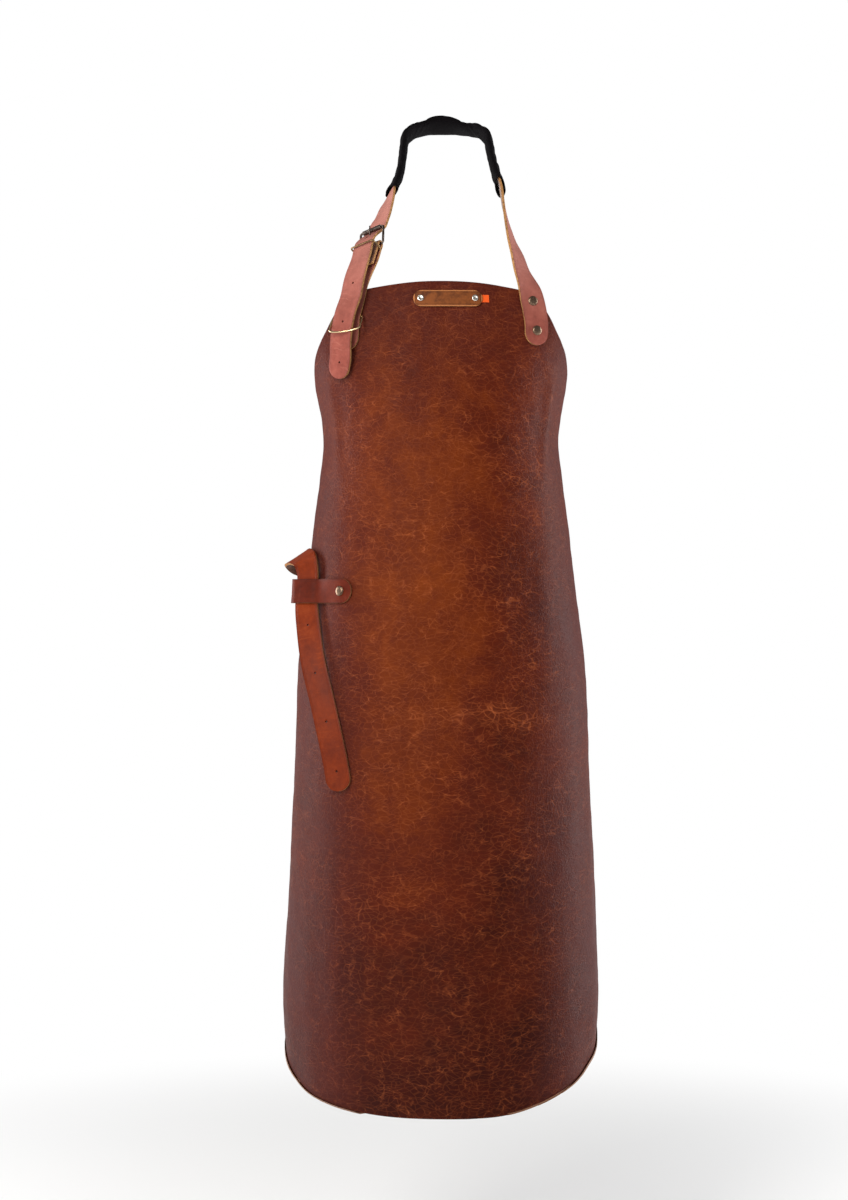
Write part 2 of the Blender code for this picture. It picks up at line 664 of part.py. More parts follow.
def build_neck(hide):
    place = neck_buckle_place()
    buckle = Buckle("neck", place, "strap_leather", "antique_nickel")
    route = neck_route(buckle)
    face = STRAP_THICKNESS / 2
    holes = [panel_rivet(f"neck_right_rivet_{k + 1}", hide, route.frame(route.stations[mark]), face)
             for k, mark in enumerate((2, 1))]
    holes.append(buckle.tongue_slot(route))
    first_hole = route.length - 0.0205
    holes += [round_cutter(route.frame(first_hole - k * NECK_HOLE_PITCH), HOLE_RADIUS, HOLE_CUT)
              for k in range(3)]
    strap("neck_strap", route, NECK_STRAP_WIDTH, STRAP_THICKNESS, "strap_leather",
          round_start=True, round_end=True, cutters=holes)
    build_sleeve(route)

    lift = HIDE_THICKNESS + DRAPE + BUCKLE_STRAP_THICKNESS / 2
    over_ring = 2 * KEEPER_RADIUS + 3 * GAP
    stations = [on_bib(share, height, lift + extra, 1) for share, height, extra in (
        (-0.640, -0.3010, 0.0), (-0.615, -0.2860, 0.0), (-0.595, -0.2740, 0.0012),
        (-0.577, -0.2610, over_ring), (-0.560, -0.2480, 0.0012), (-0.545, -0.2360, 0.0),
        (-0.522, -0.2200, 0.0010))]

    def panel_holes(buckle_route):
        places = [buckle_route.frame(buckle_route.stations[mark]) for mark in (5, 1)]
        return [panel_rivet(f"neck_left_rivet_{k + 1}", hide, rivet_place, BUCKLE_STRAP_THICKNESS / 2,
                            radius=EYELET_RADIUS, height=EYELET_HEIGHT)
                for k, rivet_place in enumerate(places)]

    buckle_route = buckle.buckle_strap(stations, panel_holes)
    buckle.hardware()
    build_ring(buckle_route.frame(buckle_route.stations[3]))


def build_ring(strap_place):
    """The half-round ring: its bar lies behind the buckle strap, its bow in front of the tail."""
    half = RING_INNER_WIDTH / 2 + KEEPER_RADIUS
    bow = [(half * cos(radians(a)), RING_LEG + RING_BOW * sin(radians(a))) for a in range(0, 181, 20)]
    foot = corner(RING_CORNER - half, RING_CORNER, RING_CORNER, pi)
    foot += corner(half - RING_CORNER, RING_CORNER, RING_CORNER, 3 * pi / 2)
    loop = [(x, 0.0, z) for x, z in bow + foot]
    behind = BUCKLE_STRAP_THICKNESS / 2 + 2 * GAP + KEEPER_RADIUS
    place = strap_place @ Matrix.Translation((RING_OFFSET, 0, -behind))
    place = place @ Matrix.Rotation(RING_SKEW, 4, "Z") @ Matrix.Rotation(RING_DROOP, 4, "X")
    wire("neck_d_ring", loop, KEEPER_RADIUS, "polished_brass", place)


def build_sleeve(route):
    """A flat fabric tube round the neck strap, with a straight flat stretch at the nape."""
    flat = SLEEVE_WIDTH / 2 - 0.0045
    half, deep = SLEEVE_WIDTH / 2, SLEEVE_DEPTH / 2 - SLEEVE_WALL / 2
    ring = [(-flat, -deep), (flat, -deep), (half, -deep * 0.35), (half, deep * 0.35), (flat, deep),
            (-flat, deep), (-half, deep * 0.35), (-half, -deep * 0.35)]
    first, last, nape = 9, 26, 17
    start, end = route.stations[first], route.stations[last]
    rows = [distance for distance, _ in strap_rows(start, end, SLEEVE_WIDTH, False, False, route.stations)]
    rows = [row for row in rows if not route.stations[nape] < row < route.stations[nape + 1]]
    bm = bmesh.new()
    bmesh.ops.create_grid(bm, x_segments=len(ring), y_segments=len(rows) - 1, size=0.5)
    for vert in bm.verts:
        x, z = ring[round((vert.co.x + 0.5) * len(ring)) % len(ring)]
        frame = route.frame(rows[round((vert.co.y + 0.5) * (len(rows) - 1))])
        vert.co = frame @ Vector((x, 0.0, z))
    bmesh.ops.remove_doubles(bm, verts=bm.verts, dist=0.00001)
    item = add_object("neck_sleeve", mesh_from(bm, "neck_sleeve"), "sleeve_fabric")
    solidify(item, SLEEVE_WALL)
    item.modifiers["thickness"].use_even_offset = True


# ================================================================ label and tag
def build_label(hide):
    drop = BIB_TOP - LABEL_DROP
    tag_lift = HIDE_THICKNESS + GAP + TAG_THICKNESS / 2
    label_lift = tag_lift + TAG_THICKNESS / 2 + GAP + LABEL_THICKNESS / 2

    def along(near, far, lift):
        count = 6
        spots = [near + (far - near) * k / count for k in range(count + 1)]
        return Route([(on_girth(spot, drop, lift)[0], up_girth(spot, drop)) for spot in spots])

    left = LABEL_CENTRE - LABEL_LENGTH / 2
    right = left + LABEL_LENGTH
    label = along(right, left, label_lift)
    edge = (LABEL_LENGTH - LABEL_RIVET_SPAN) / 2
    holes = [panel_rivet(f"label_rivet_{k + 1}", hide, label.frame(distance), LABEL_THICKNESS / 2,
                         radius=EYELET_RADIUS, height=EYELET_HEIGHT, finish_name="bright_nickel")
             for k, distance in enumerate((label.length - edge, edge))]
    strap("label", label, LABEL_WIDTH, LABEL_THICKNESS, "label_leather", round_start=True, round_end=True,
          cutters=holes)
    tag = along(right + TAG_SHOW, right - edge - 0.006, tag_lift)
    strap("label_tag", tag, TAG_HEIGHT, TAG_THICKNESS, "tag_fabric", cutters=[holes[1]])


# ================================================================ waist
def back_curve(right, left, share):
    """Gives a place on the bowed line round the wearer's back, from one hide edge to the other."""
    return right.lerp(left, share) + Vector((0, BACK_BOW * 4 * share * (1 - share), 0))


def waist_buckle_place(right, left):
    share = 0.70
    here, before = back_curve(right, left, share), back_curve(right, left, share - 0.02)
    up = (before - here).normalized()
    across = Vector((0.0, 0.0, 1.0))
    place = Matrix((across, up, across.cross(up))).transposed().to_4x4()
    place.translation = here
    return place


def tail_station(share, height, turn, stand_off=0.0):
    """Hangs the strap's inner edge just clear of the hide, turned from the front towards the left."""
    edge, _ = on_front(-share, height, HIDE_THICKNESS + 2 * GAP + STRAP_THICKNESS / 2 + stand_off)
    side = facing(turn, -1)
    return edge + side * (WAIST_STRAP_WIDTH / 2), side


def waist_route_to_side():
    """Lists the waist strap's stations from its rivets round the back to the far edge of the hide."""
    rear = HIDE_WIDTH / 2
    on_hide = HIDE_THICKNESS + DRAPE + STRAP_THICKNESS / 2
    right = on_girth(rear - 0.005, BELT_HEIGHT, on_hide + 0.0012)[0]
    left = on_girth(-rear + 0.005, BELT_HEIGHT, on_hide + 0.0012)[0]
    buckle = Buckle("waist", waist_buckle_place(right, left), "belt_leather", "antique_nickel")
    down = Vector((0, 0, -1))
    stations = [(on_girth(rear - back, BELT_HEIGHT, on_hide)[0], -up_girth(rear - back, BELT_HEIGHT))
                for back in (0.062, 0.046, 0.024)]
    stations += [(right, down)]
    stations += [(back_curve(right, left, share), down) for share in (0.14, 0.30, 0.45)]
    stations += buckle.main_strap_stations()
    clear = HIDE_THICKNESS + BUCKLE_STRAP_THICKNESS + EYELET_HEIGHT + 5 * GAP + STRAP_THICKNESS / 2
    stations += [(on_girth(forward - rear, BELT_HEIGHT, clear + extra)[0],
                  -up_girth(forward - rear, BELT_HEIGHT))
                 for forward, extra in ((0.000, 0.0045), (0.020, 0.0024), (0.042, 0.002), (0.062, 0.002))]
    return buckle, stations


def build_waist(hide):
    buckle, stations = waist_route_to_side()
    stations += [(on_girth(distance, height, lift)[0], side) for distance, height, lift, side in (
        (-0.264, -0.5632, 0.0100, Vector((-0.20, 0.0, -1.0))),
        (-0.246, -0.5615, 0.0150, Vector((-0.55, 0.0, -0.84))),
        (-0.230, -0.5580, 0.0185, Vector((-0.80, 0.05, -0.60))))]
    crest, _ = tail_station(0.900, -0.5590, 34, 0.004)
    stations += [(crest + Vector((-0.0045, 0.014, 0.0045)), Vector((-0.84, 0.10, -0.55))),
                 (crest, Vector((-0.87, 0.28, -0.40)))]
    stations += [tail_station(share, height, turn, 0.0006) for share, height, turn in (
        (0.885, -0.5760, 32), (0.877, -0.5970, 30), (0.866, -0.6142, 27), (0.829, -0.6430, 22),
        (0.789, -0.6734, 18), (0.691, -0.7381, 16), (0.597, -0.8143, 16), (0.572, -0.8400, 16))]
    route = Route(stations)
    face = STRAP_THICKNESS / 2
    holes = [panel_rivet(f"waist_right_rivet_{k + 1}", hide, route.frame(route.stations[mark]), face)
             for k, mark in enumerate((1, 2))]
    holes.append(buckle.tongue_slot(route))
    split = route.stations[-6] + TAIL_START
    strap("waist_strap", route, WAIST_STRAP_WIDTH, STRAP_THICKNESS, "belt_leather", end=split - GAP,
          round_start=True, cutters=holes)
    first_hole = route.length - 0.0245
    tail_holes = [round_cutter(route.frame(first_hole - k * WAIST_HOLE_PITCH), HOLE_RADIUS, HOLE_CUT)
                  for k in range(4)]
    bend_line = route.frame(split) @ Matrix.Translation((0, 0, STRAP_THICKNESS / 2))
    strap("waist_strap_tail", route, WAIST_STRAP_WIDTH, STRAP_THICKNESS, "belt_leather", start=split + GAP,
          round_end=True, cutters=tail_holes, pivot=bend_line)
    build_waist_buckle(hide, buckle)
    return route.frame(route.stations[-7])


def build_waist_buckle(hide, buckle):
    rear = HIDE_WIDTH / 2
    lift = HIDE_THICKNESS + DRAPE + BUCKLE_STRAP_THICKNESS / 2
    stations = [(on_girth(forward - rear, BELT_HEIGHT, lift)[0], up_girth(forward - rear, BELT_HEIGHT))
                for forward in (0.062, 0.048, 0.020, 0.002)]

    def panel_holes(buckle_route):
        places = [buckle_route.frame(buckle_route.stations[mark]) for mark in (1, 2)]
        return [panel_rivet(f"waist_left_rivet_{k + 1}", hide, rivet_place, BUCKLE_STRAP_THICKNESS / 2,
                            radius=EYELET_RADIUS, height=EYELET_HEIGHT)
                for k, rivet_place in enumerate(places)]

    buckle.buckle_strap(stations, panel_holes)
    buckle.hardware()


# ================================================================ side loop
def build_side_loop(hide, crossing):
    """A leather loop on the left flank; the waist strap passes behind it at the crossing."""
    on_hide = HIDE_THICKNESS + DRAPE + LOOP_THICKNESS / 2
    edge = WAIST_STRAP_WIDTH / 2
    over = STRAP_THICKNESS / 2 + 3 * GAP + LOOP_THICKNESS / 2

    def lying(distance, extra=0.0):
        return on_girth(distance, LOOP_HEIGHT, on_hide + extra)[0], up_girth(distance, LOOP_HEIGHT)

    def over_strap(across, out):
        spot = crossing @ Vector((across, 0.0, out))
        spot.z = worn(0, 0, LOOP_HEIGHT).z
        return spot, -crossing.col[1].xyz

    stations = [lying(-0.112), lying(-0.128), lying(-0.146)]
    stations += [over_strap(-edge - 0.002, over * 0.85 + 0.0008), over_strap(-edge * 0.5, over + 0.0014),
                 over_strap(0.0, over + 0.0014), over_strap(edge * 0.6, over + 0.0010),
                 over_strap(edge + 0.0020, over), over_strap(edge + 0.0080, -0.0060),
                 over_strap(edge + 0.0070, -0.0180)]
    stations += [lying(-0.246, 0.0022), lying(-0.258), lying(-0.274), lying(-0.290)]
    route = Route(stations)
    places = [route.frame(route.stations[mark]) for mark in (1, len(stations) - 2)]
    holes = [panel_rivet(f"side_loop_rivet_{k + 1}", hide, place, LOOP_THICKNESS / 2)
             for k, place in enumerate(places)]
    strap("side_loop", route, LOOP_WIDTH, LOOP_THICKNESS, "belt_leather", round_start=True, round_end=True,
          cutters=holes)


clear_scene()
PIECES = collection("leather_apron")
CUTTERS = collection("cutters")
hide_panel = Hide()
build_neck(hide_panel)
build_label(hide_panel)
loop_crossing = build_waist(hide_panel)
build_side_loop(hide_panel, loop_crossing)
hide_panel.build()
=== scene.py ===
"""Looks of a leather work apron in its worn shape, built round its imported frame.

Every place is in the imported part's own frame: metres, +Z up, the wearer facing -Y, the origin on
the under face of the neck sleeve at the nape. Places written on the body are moved there by BODY.
"""

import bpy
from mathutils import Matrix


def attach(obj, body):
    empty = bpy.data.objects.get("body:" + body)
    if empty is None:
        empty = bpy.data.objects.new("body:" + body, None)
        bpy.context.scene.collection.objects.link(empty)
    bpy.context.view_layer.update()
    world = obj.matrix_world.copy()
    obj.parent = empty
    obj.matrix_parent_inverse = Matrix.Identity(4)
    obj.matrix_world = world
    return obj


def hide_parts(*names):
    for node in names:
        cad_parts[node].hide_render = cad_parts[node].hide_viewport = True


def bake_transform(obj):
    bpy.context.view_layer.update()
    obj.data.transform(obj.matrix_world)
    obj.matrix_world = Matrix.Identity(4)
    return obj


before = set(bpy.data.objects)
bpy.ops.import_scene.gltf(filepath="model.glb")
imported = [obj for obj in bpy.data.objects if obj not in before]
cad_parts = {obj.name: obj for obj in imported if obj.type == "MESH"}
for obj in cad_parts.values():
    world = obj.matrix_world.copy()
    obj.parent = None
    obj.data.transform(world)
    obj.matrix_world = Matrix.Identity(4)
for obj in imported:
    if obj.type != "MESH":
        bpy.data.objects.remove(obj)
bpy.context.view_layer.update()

import logging
from dataclasses import dataclass, field
from enum import Enum
from functools import lru_cache
from math import cos, pi, radians, sin, sqrt
from typing import Callable, Dict, List, Optional, Sequence, Tuple, Union

import bmesh
import bpy
from mathutils import Matrix, Vector, noise

log = logging.getLogger("leather_apron")

Colour = Tuple[float, float, float]
Station = Tuple[Vector, Vector]
Socket = bpy.types.NodeSocket
Punch = Tuple[Matrix, float, float, float]

HIDE_THICKNESS = 0.0022      # the hide's leather
FOLD_LEATHER = 0.0025        # the short straps' leather
STRAP_LEATHER = 0.003        # the long straps' leather
STRAP_WIDTH = 0.030
DRAPE = 0.0010               # how far a strap on the hide stands off it
GAP = 0.0003                 # the least room between two pieces
CREASE_DROP = 0.532          # the crumpled crease, down from the bib's top
RIVET_HOLE = 0.0018          # the radius punched for a rivet
TINY = 1e-6                  # points closer than this are one
METAL_CREASE = 40.0          # degrees past which a metal edge shades sharp
WHITE = (1.0, 1.0, 1.0)
BLACK = (0.0, 0.0, 0.0)


def tone(red: int, green: int, blue: int) -> Colour:
    """Turns a colour named in 0-255 screen values into scene light values.

    Args:
        red: Screen red.
        green: Screen green.
        blue: Screen blue.

    Returns:
        The colour as three linear values.
    """
    return tuple((v / 255 / 12.92) if v <= 10 else ((v / 255 + 0.055) / 1.055) ** 2.4
                 for v in (red, green, blue))


def ease(low: float, high: float, value: float) -> float:
    """Returns 0 below low, 1 above high and a smooth rise between them."""
    share = min(1.0, max(0.0, (value - low) / (high - low)))
    return share * share * (3 - 2 * share)


# ================================================================ shader maths
class Level:
    """A number that varies over a surface, written as ordinary arithmetic."""

    def __init__(self, maker: "Dresser", socket: Socket) -> None:
        """Wraps a socket of the maker's node tree."""
        self.maker = maker
        self.socket = socket

    def _sum(self, operation: str, first: "Number", second: "Number", clamp: bool = False) -> "Level":
        """Adds one Math node and wraps its result."""
        settings = {"operation": operation, "use_clamp": clamp}
        node = self.maker.node("ShaderNodeMath", settings, {0: first, 1: second})
        return Level(self.maker, node.outputs[0])

    def __add__(self, other: "Number") -> "Level":
        """Adds."""
        return self._sum("ADD", self, other)

    def __radd__(self, other: "Number") -> "Level":
        """Adds to a plain number."""
        return self._sum("ADD", other, self)

    def __sub__(self, other: "Number") -> "Level":
        """Subtracts."""
        return self._sum("SUBTRACT", self, other)

    def __rsub__(self, other: "Number") -> "Level":
        """Subtracts from a plain number."""
        return self._sum("SUBTRACT", other, self)

    def __mul__(self, other: "Number") -> "Level":
        """Multiplies."""
        return self._sum("MULTIPLY", self, other)

    def __rmul__(self, other: "Number") -> "Level":
        """Multiplies a plain number."""
        return self._sum("MULTIPLY", other, self)

    def most(self, other: "Number") -> "Level":
        """Returns the greater of the two."""
        return self._sum("MAXIMUM", self, other)

    def waves(self) -> "Level":
        """Returns the sine of the level."""
        return self._sum("SINE", self, 0.0)

    def size(self) -> "Level":
        """Returns the level without its sign."""
        return self._sum("ABSOLUTE", self, 0.0)

    def clamped(self) -> "Level":
        """Returns the level kept within 0 and 1."""
        return self._sum("ADD", self, 0.0, clamp=True)

    def eased(self, low: float, high: float) -> "Level":
        """Returns 0 at low, 1 at high and a smooth rise between; low may be the greater."""
        inputs = {"Value": self, "From Min": low, "From Max": high, "To Min": 0.0, "To Max": 1.0}
        node = self.maker.node("ShaderNodeMapRange", {"interpolation_type": "SMOOTHSTEP"}, inputs)
        return Level(self.maker, node.outputs["Result"])


Number = Union[float, int, Level]


class Dresser:
    """Makes one material: its node tree, and the patterns that its finish is written in."""

    def __init__(self, name: str) -> None:
        """Starts a material with only the surface shader and the output."""
        self.material = bpy.data.materials.new(name)
        self.material.use_nodes = True
        self.tree = self.material.node_tree
        self.surface = self.tree.nodes["Principled BSDF"]

    def node(self, kind: str, settings: Dict[str, object], inputs: Dict[object, object]) -> bpy.types.Node:
        """Makes a node.

        Args:
            kind: The node's type.
            settings: Its own settings, set first; "stops" fills a ramp.
            inputs: Values or links of its sockets, by name or number.

        Returns:
            The node.
        """
        made = self.tree.nodes.new(kind)
        for name, value in settings.items():
            if name == "stops":
                self._fill_ramp(made, value)
            else:
                setattr(made, name, value)
        for key, value in inputs.items():
            self.feed(made.inputs[key], value)
        return made

    def _fill_ramp(self, ramp: bpy.types.Node, stops: Sequence[Tuple[float, Colour]]) -> None:
        """Sets a ramp's stops of (position, colour)."""
        elements = ramp.color_ramp.elements
        while len(elements) < len(stops):
            elements.new(0.5)
        for element, (position, colour) in zip(elements, stops):
            element.position = position
            element.color = (*colour, 1.0)

    def feed(self, socket: Socket, value: object) -> None:
        """Links or sets one socket."""
        if isinstance(value, Level):
            value = value.socket
        if isinstance(value, bpy.types.NodeSocket):
            self.tree.links.new(value, socket)
        elif isinstance(value, tuple) and len(value) == 3 and socket.type == "RGBA":
            socket.default_value = (*value, 1.0)
        else:
            socket.default_value = value

    def own_place(self) -> Socket:
        """Returns the place on the object, in metres."""
        return self.node("ShaderNodeTexCoord", {}, {}).outputs["Object"]

    def cut_place(self) -> Socket:
        """Returns the place on the flat cut, in metres."""
        return self.node("ShaderNodeUVMap", {"uv_map": "cut"}, {}).outputs["UV"]

    def mark(self, name: str) -> Level:
        """Returns a number kept on the piece's points."""
        return Level(self, self.node("ShaderNodeAttribute", {"attribute_name": name}, {}).outputs["Fac"])

    def parts(self, place: Socket) -> Tuple[Level, Level, Level]:
        """Splits a place into its three levels."""
        split = self.node("ShaderNodeSeparateXYZ", {}, {0: place})
        return tuple(Level(self, output) for output in split.outputs)

    def stretched(self, place: Socket, scale: Tuple[float, float, float], turn: float = 0.0) -> Socket:
        """Stretches and turns a place, for streaks and ribs."""
        inputs = {"Vector": place, "Rotation": (0.0, 0.0, turn), "Scale": scale}
        return self.node("ShaderNodeMapping", {}, inputs).outputs[0]

    def cloud(self, place: Socket, scale: float, detail: float = 3.0, rough: float = 0.55,
              bend: float = 0.0) -> Level:
        """Returns soft noise, with scale in features a metre."""
        inputs = {"Vector": place, "Scale": scale, "Detail": detail, "Roughness": rough, "Distortion": bend}
        return Level(self, self.node("ShaderNodeTexNoise", {}, inputs).outputs[0])

    def cracks(self, place: Socket, scale: float) -> Level:
        """Returns the distance to the nearest crack of a cell pattern."""
        settings = {"feature": "DISTANCE_TO_EDGE"}
        inputs = {"Vector": place, "Scale": scale}
        return Level(self, self.node("ShaderNodeTexVoronoi", settings, inputs).outputs["Distance"])

    def pebbles(self, place: Socket, scale: float) -> Level:
        """Returns the distance to the nearest cell's middle."""
        return Level(self, self.node("ShaderNodeTexVoronoi", {}, {"Vector": place, "Scale": scale})
                     .outputs["Distance"])

    def wandering(self, place: Socket, scale: float, reach: float) -> Socket:
        """Moves a place about by noise, so that a pattern on it wanders."""
        drift = self.node("ShaderNodeTexNoise", {}, {"Vector": place, "Scale": scale, "Detail": 2.0})
        centred = self.node("ShaderNodeVectorMath", {"operation": "SUBTRACT"},
                            {0: drift.outputs["Color"], 1: (0.5, 0.5, 0.5)})
        scaled = self.node("ShaderNodeVectorMath", {"operation": "SCALE"},
                           {0: centred.outputs[0], "Scale": reach})
        moved = self.node("ShaderNodeVectorMath", {"operation": "ADD"}, {0: place, 1: scaled.outputs[0]})
        return moved.outputs[0]

    def blend(self, share: Number, here: object, there: object) -> Socket:
        """Mixes two colours by a share: 0 gives here, 1 gives there."""
        mix = self.node("ShaderNodeMix", {"data_type": "RGBA"}, {})
        self.feed(mix.inputs[0], share)
        self.feed(mix.inputs[6], here)
        self.feed(mix.inputs[7], there)
        return mix.outputs[2]

    def ramp(self, share: Level, stops: Sequence[Tuple[float, Colour]]) -> Socket:
        """Reads a colour from a row of stops."""
        return self.node("ShaderNodeValToRGB", {"stops": stops}, {0: share}).outputs[0]

    def relief(self, height: Level, depth: float, strength: float = 1.0,
               under: Optional[Socket] = None) -> Socket:
        """Turns a height into bumps of a depth in metres."""
        inputs = {"Height": height, "Distance": depth, "Strength": strength}
        if under is not None:
            inputs["Normal"] = under
        return self.node("ShaderNodeBump", {}, inputs).outputs[0]

    def dress(self, **sockets: object) -> bpy.types.Material:
        """Feeds the surface's sockets, with _ for a space in their names, and returns the material."""
        for name, value in sockets.items():
            self.feed(self.surface.inputs[name.replace("_", " ")], value)
        return self.material


# ================================================================ finishes
@dataclass(frozen=True)
class HideGrain:
    """The hide's oiled outer side: mottled, crinkled and lightly sheened, with a painted band of key light
    and painted sheen towards its sides and top.
    """

    deep: Colour = tone(52, 11, 2)
    middle: Colour = tone(88, 27, 4)
    warm: Colour = tone(128, 54, 5)
    scuff: Colour = tone(186, 96, 50)
    # painted sheen: the purple-grey veil of grazing reflections, painted into the hide's colour
    tarnish_and_painted_sheen: Colour = tone(77, 33, 30)

    def material(self) -> bpy.types.Material:
        """Returns the material, which reads the hide's flat cut."""
        make = Dresser("hide_grain")
        cut = make.cut_place()
        across, drop, _ = make.parts(cut)
        down = drop * -1.0
        mottle = make.cloud(make.wandering(cut, 4.0, 0.05), 9.0, 5.0, 0.62)
        patches = make.cloud(cut, 38.0, 4.0, 0.6, 0.6)
        # glow is painted light: a warm band where the key light falls, a little left of centre, fading
        # towards the top and the hem; it lifts the tone in tide
        glow = (across + 0.035).size().eased(0.15, 0.02) * down.eased(0.02, 0.30) * down.eased(1.15, 0.35)
        sunk = down.eased(0.50, 1.02)
        bib = down.eased(0.34, 0.12) * 0.14
        tide = (mottle * 0.80 + patches * 0.45 + glow * 0.36 + bib - sunk * 0.20 - 0.37).clamped()
        body = make.ramp(tide, [(0.0, self.deep), (0.42, self.middle), (0.85, self.warm)])
        smooth = make.wandering(cut, 18.0, 0.03)
        crinkle = make.cracks(make.stretched(smooth, (0.55, 1.0, 1.0), -0.6), 170.0).eased(0.09, 0.0)
        broad = make.cracks(make.stretched(smooth, (0.35, 1.0, 1.0), -0.45), 80.0).eased(0.042, 0.0)
        strokes = make.cracks(make.stretched(make.wandering(cut, 30.0, 0.02), (0.28, 1.0, 1.0), -1.15), 120.0)
        strokes = strokes.eased(0.055, 0.0)
        rubbed = make.cloud(cut, 11.0, 3.0, 0.6).eased(0.36, 0.66)
        torn = make.cloud(cut, 75.0, 3.0, 0.6).eased(0.40, 0.62)
        crumple = (drop + CREASE_DROP + (make.cloud(cut, 16.0, 3.0) - 0.5) * 0.06).size().eased(0.020, 0.002)
        crumple = crumple * (across - 0.05).size().eased(0.13, 0.05)
        shown = torn * (rubbed * 0.5 + 0.5) + crumple * 0.7
        lines = crinkle * 0.21 * (rubbed * 0.4 + 0.6) + (broad * 0.38 + strokes * 0.34) * shown
        lined = make.blend(lines * (0.74 - sunk * 0.10), body, self.scuff)
        lined = make.blend(crumple * 0.06, lined, self.scuff)
        # painted sheen: the purple-grey veil of grazing reflections, mixed in towards both sides (patched by
        # noise) and towards the bib's top
        painted_sheen_share = make.cloud(cut, 6.0, 4.0, 0.6).eased(0.36, 0.70)
        painted_sheen_share = painted_sheen_share * (across.size().eased(0.08, 0.24) * 0.35 + 0.10)
        painted_sheen_share = painted_sheen_share + (across - 0.01).size().eased(0.075, 0.17) * 0.42
        painted_sheen_share = (painted_sheen_share + down.eased(0.16, 0.0) * 0.34).clamped()
        final = make.blend(painted_sheen_share, lined, self.tarnish_and_painted_sheen)
        pits = make.pebbles(make.wandering(cut, 200.0, 0.002), 380.0).eased(0.60, 0.15)
        fine = make.relief(pits, 0.00030, 0.8)
        height = lines * -1.0 + make.cloud(cut, 210.0, 4.0, 0.7) * 0.5 + crumple * 0.8
        bumps = make.relief(height, 0.0005, 0.75, fine)
        rough = 0.50 + mottle * 0.12 - lines * 0.10 + (patches - 0.5) * 0.14
        return make.dress(Base_Color=final, Roughness=rough, Normal=bumps, Sheen_Weight=0.02,
                          Sheen_Roughness=0.35, Sheen_Tint=(1.0, 0.86, 0.88), Specular_IOR_Level=0.10)


@dataclass(frozen=True)
class FleshSide:
    """The napped inner side of leather."""

    pale: Colour = tone(150, 104, 74)
    dark: Colour = tone(108, 66, 42)

    def material(self) -> bpy.types.Material:
        """Returns the material."""
        make = Dresser("leather_flesh_side")
        place = make.own_place()
        nap = make.cloud(place, 42.0, 6.0, 0.7)
        fibre = make.cloud(make.stretched(place, (1.0, 1.0, 0.35)), 900.0, 4.0, 0.7)
        colour = make.blend((nap * 0.7 + fibre * 0.5 - 0.1).clamped(), self.dark, self.pale)
        relief = make.relief(fibre + nap * 0.4, 0.0004, 0.8)
        return make.dress(Base_Color=colour, Roughness=0.95, Normal=relief, Sheen_Weight=0.35,
                          Sheen_Roughness=0.5, Specular_IOR_Level=0.2)


@dataclass(frozen=True)
class CutEdge:
    """The raw cut edge of leather: speckled fibres with dark, rough lines."""

    name: str
    fibre: Colour
    line: Colour
    gloss: float = 0.25

    def material(self) -> bpy.types.Material:
        """Returns the material."""
        make = Dresser(self.name)
        place = make.own_place()
        speck = make.cloud(place, 1400.0, 3.0, 0.7)
        rough = make.cloud(place, 320.0, 4.0, 0.7).eased(0.50, 0.64)
        worn = make.cloud(place, 60.0, 3.0, 0.6)
        colour = make.blend((rough * 0.6 + speck.eased(0.5, 0.7) * 0.35).clamped(), self.fibre, self.line)
        colour = make.blend(worn.eased(0.5, 0.75) * 0.35, colour, self.line)
        return make.dress(Base_Color=colour, Roughness=0.82, Normal=make.relief(speck + rough, 0.0003, 0.8),
                          Specular_IOR_Level=self.gloss)


@dataclass(frozen=True)
class StrapGrain:
    """The smooth outer side of a strap, with dark burnished margins and pulled, paler bends, and where set a
    painted sheen that pales it with height.
    """

    name: str
    body: Colour
    deep: Colour
    pull: Colour
    # painted sheen: a pale colour the strap fades towards between two heights
    painted_sheen_colour: Optional[Colour] = None
    painted_sheen_from: float = 0.0
    painted_sheen_to: float = 1.0
    gloss: float = 0.42

    def material(self) -> bpy.types.Material:
        """Returns the material, which reads the strap's across and run marks."""
        make = Dresser(self.name)
        place = make.own_place()
        across, run = make.mark("across"), make.mark("run")
        mottle = make.cloud(place, 34.0, 5.0, 0.6)
        fine = make.cloud(place, 190.0, 4.0, 0.65)
        colour = make.ramp((mottle * 0.75 + fine * 0.45 - 0.12).clamped(),
                           [(0.15, self.deep), (0.52, self.body), (0.92, self.pull)])
        margin = across.size().eased(0.86, 0.97)
        colour = make.blend(margin * 0.55, colour, self.deep)
        ticks = (run * 900.0 + (make.cloud(place, 90.0, 3.0) - 0.5) * 9.0).waves().eased(0.55, 1.0)
        ticks = ticks * make.cloud(place, 48.0, 3.0).eased(0.52, 0.72)
        colour = make.blend(ticks * 0.35, colour, self.pull)
        groove = (across.size() - 0.82).size().eased(0.035, 0.0)
        colour = make.blend(groove * 0.35, colour, self.deep)
        # painted sheen: the strap pales towards its sheen colour as it rises, standing in for the sheen veil
        if self.painted_sheen_colour is not None:
            height = make.parts(place)[2].eased(self.painted_sheen_from, self.painted_sheen_to)
            colour = make.blend(height * (mottle * 0.4 + 0.55), colour, self.painted_sheen_colour)
        pores = make.pebbles(place, 900.0).eased(0.5, 0.1)
        relief = make.relief(pores, 0.00008, 0.5)
        relief = make.relief(fine * 0.6 - groove * 0.8 - ticks * 0.3, 0.0003, 0.7, relief)
        rough = self.gloss + (mottle - 0.5) * 0.16 + ticks * 0.12
        return make.dress(Base_Color=colour, Roughness=rough, Normal=relief, Coat_Weight=0.02,
                          Coat_Roughness=0.35, Specular_IOR_Level=0.10)


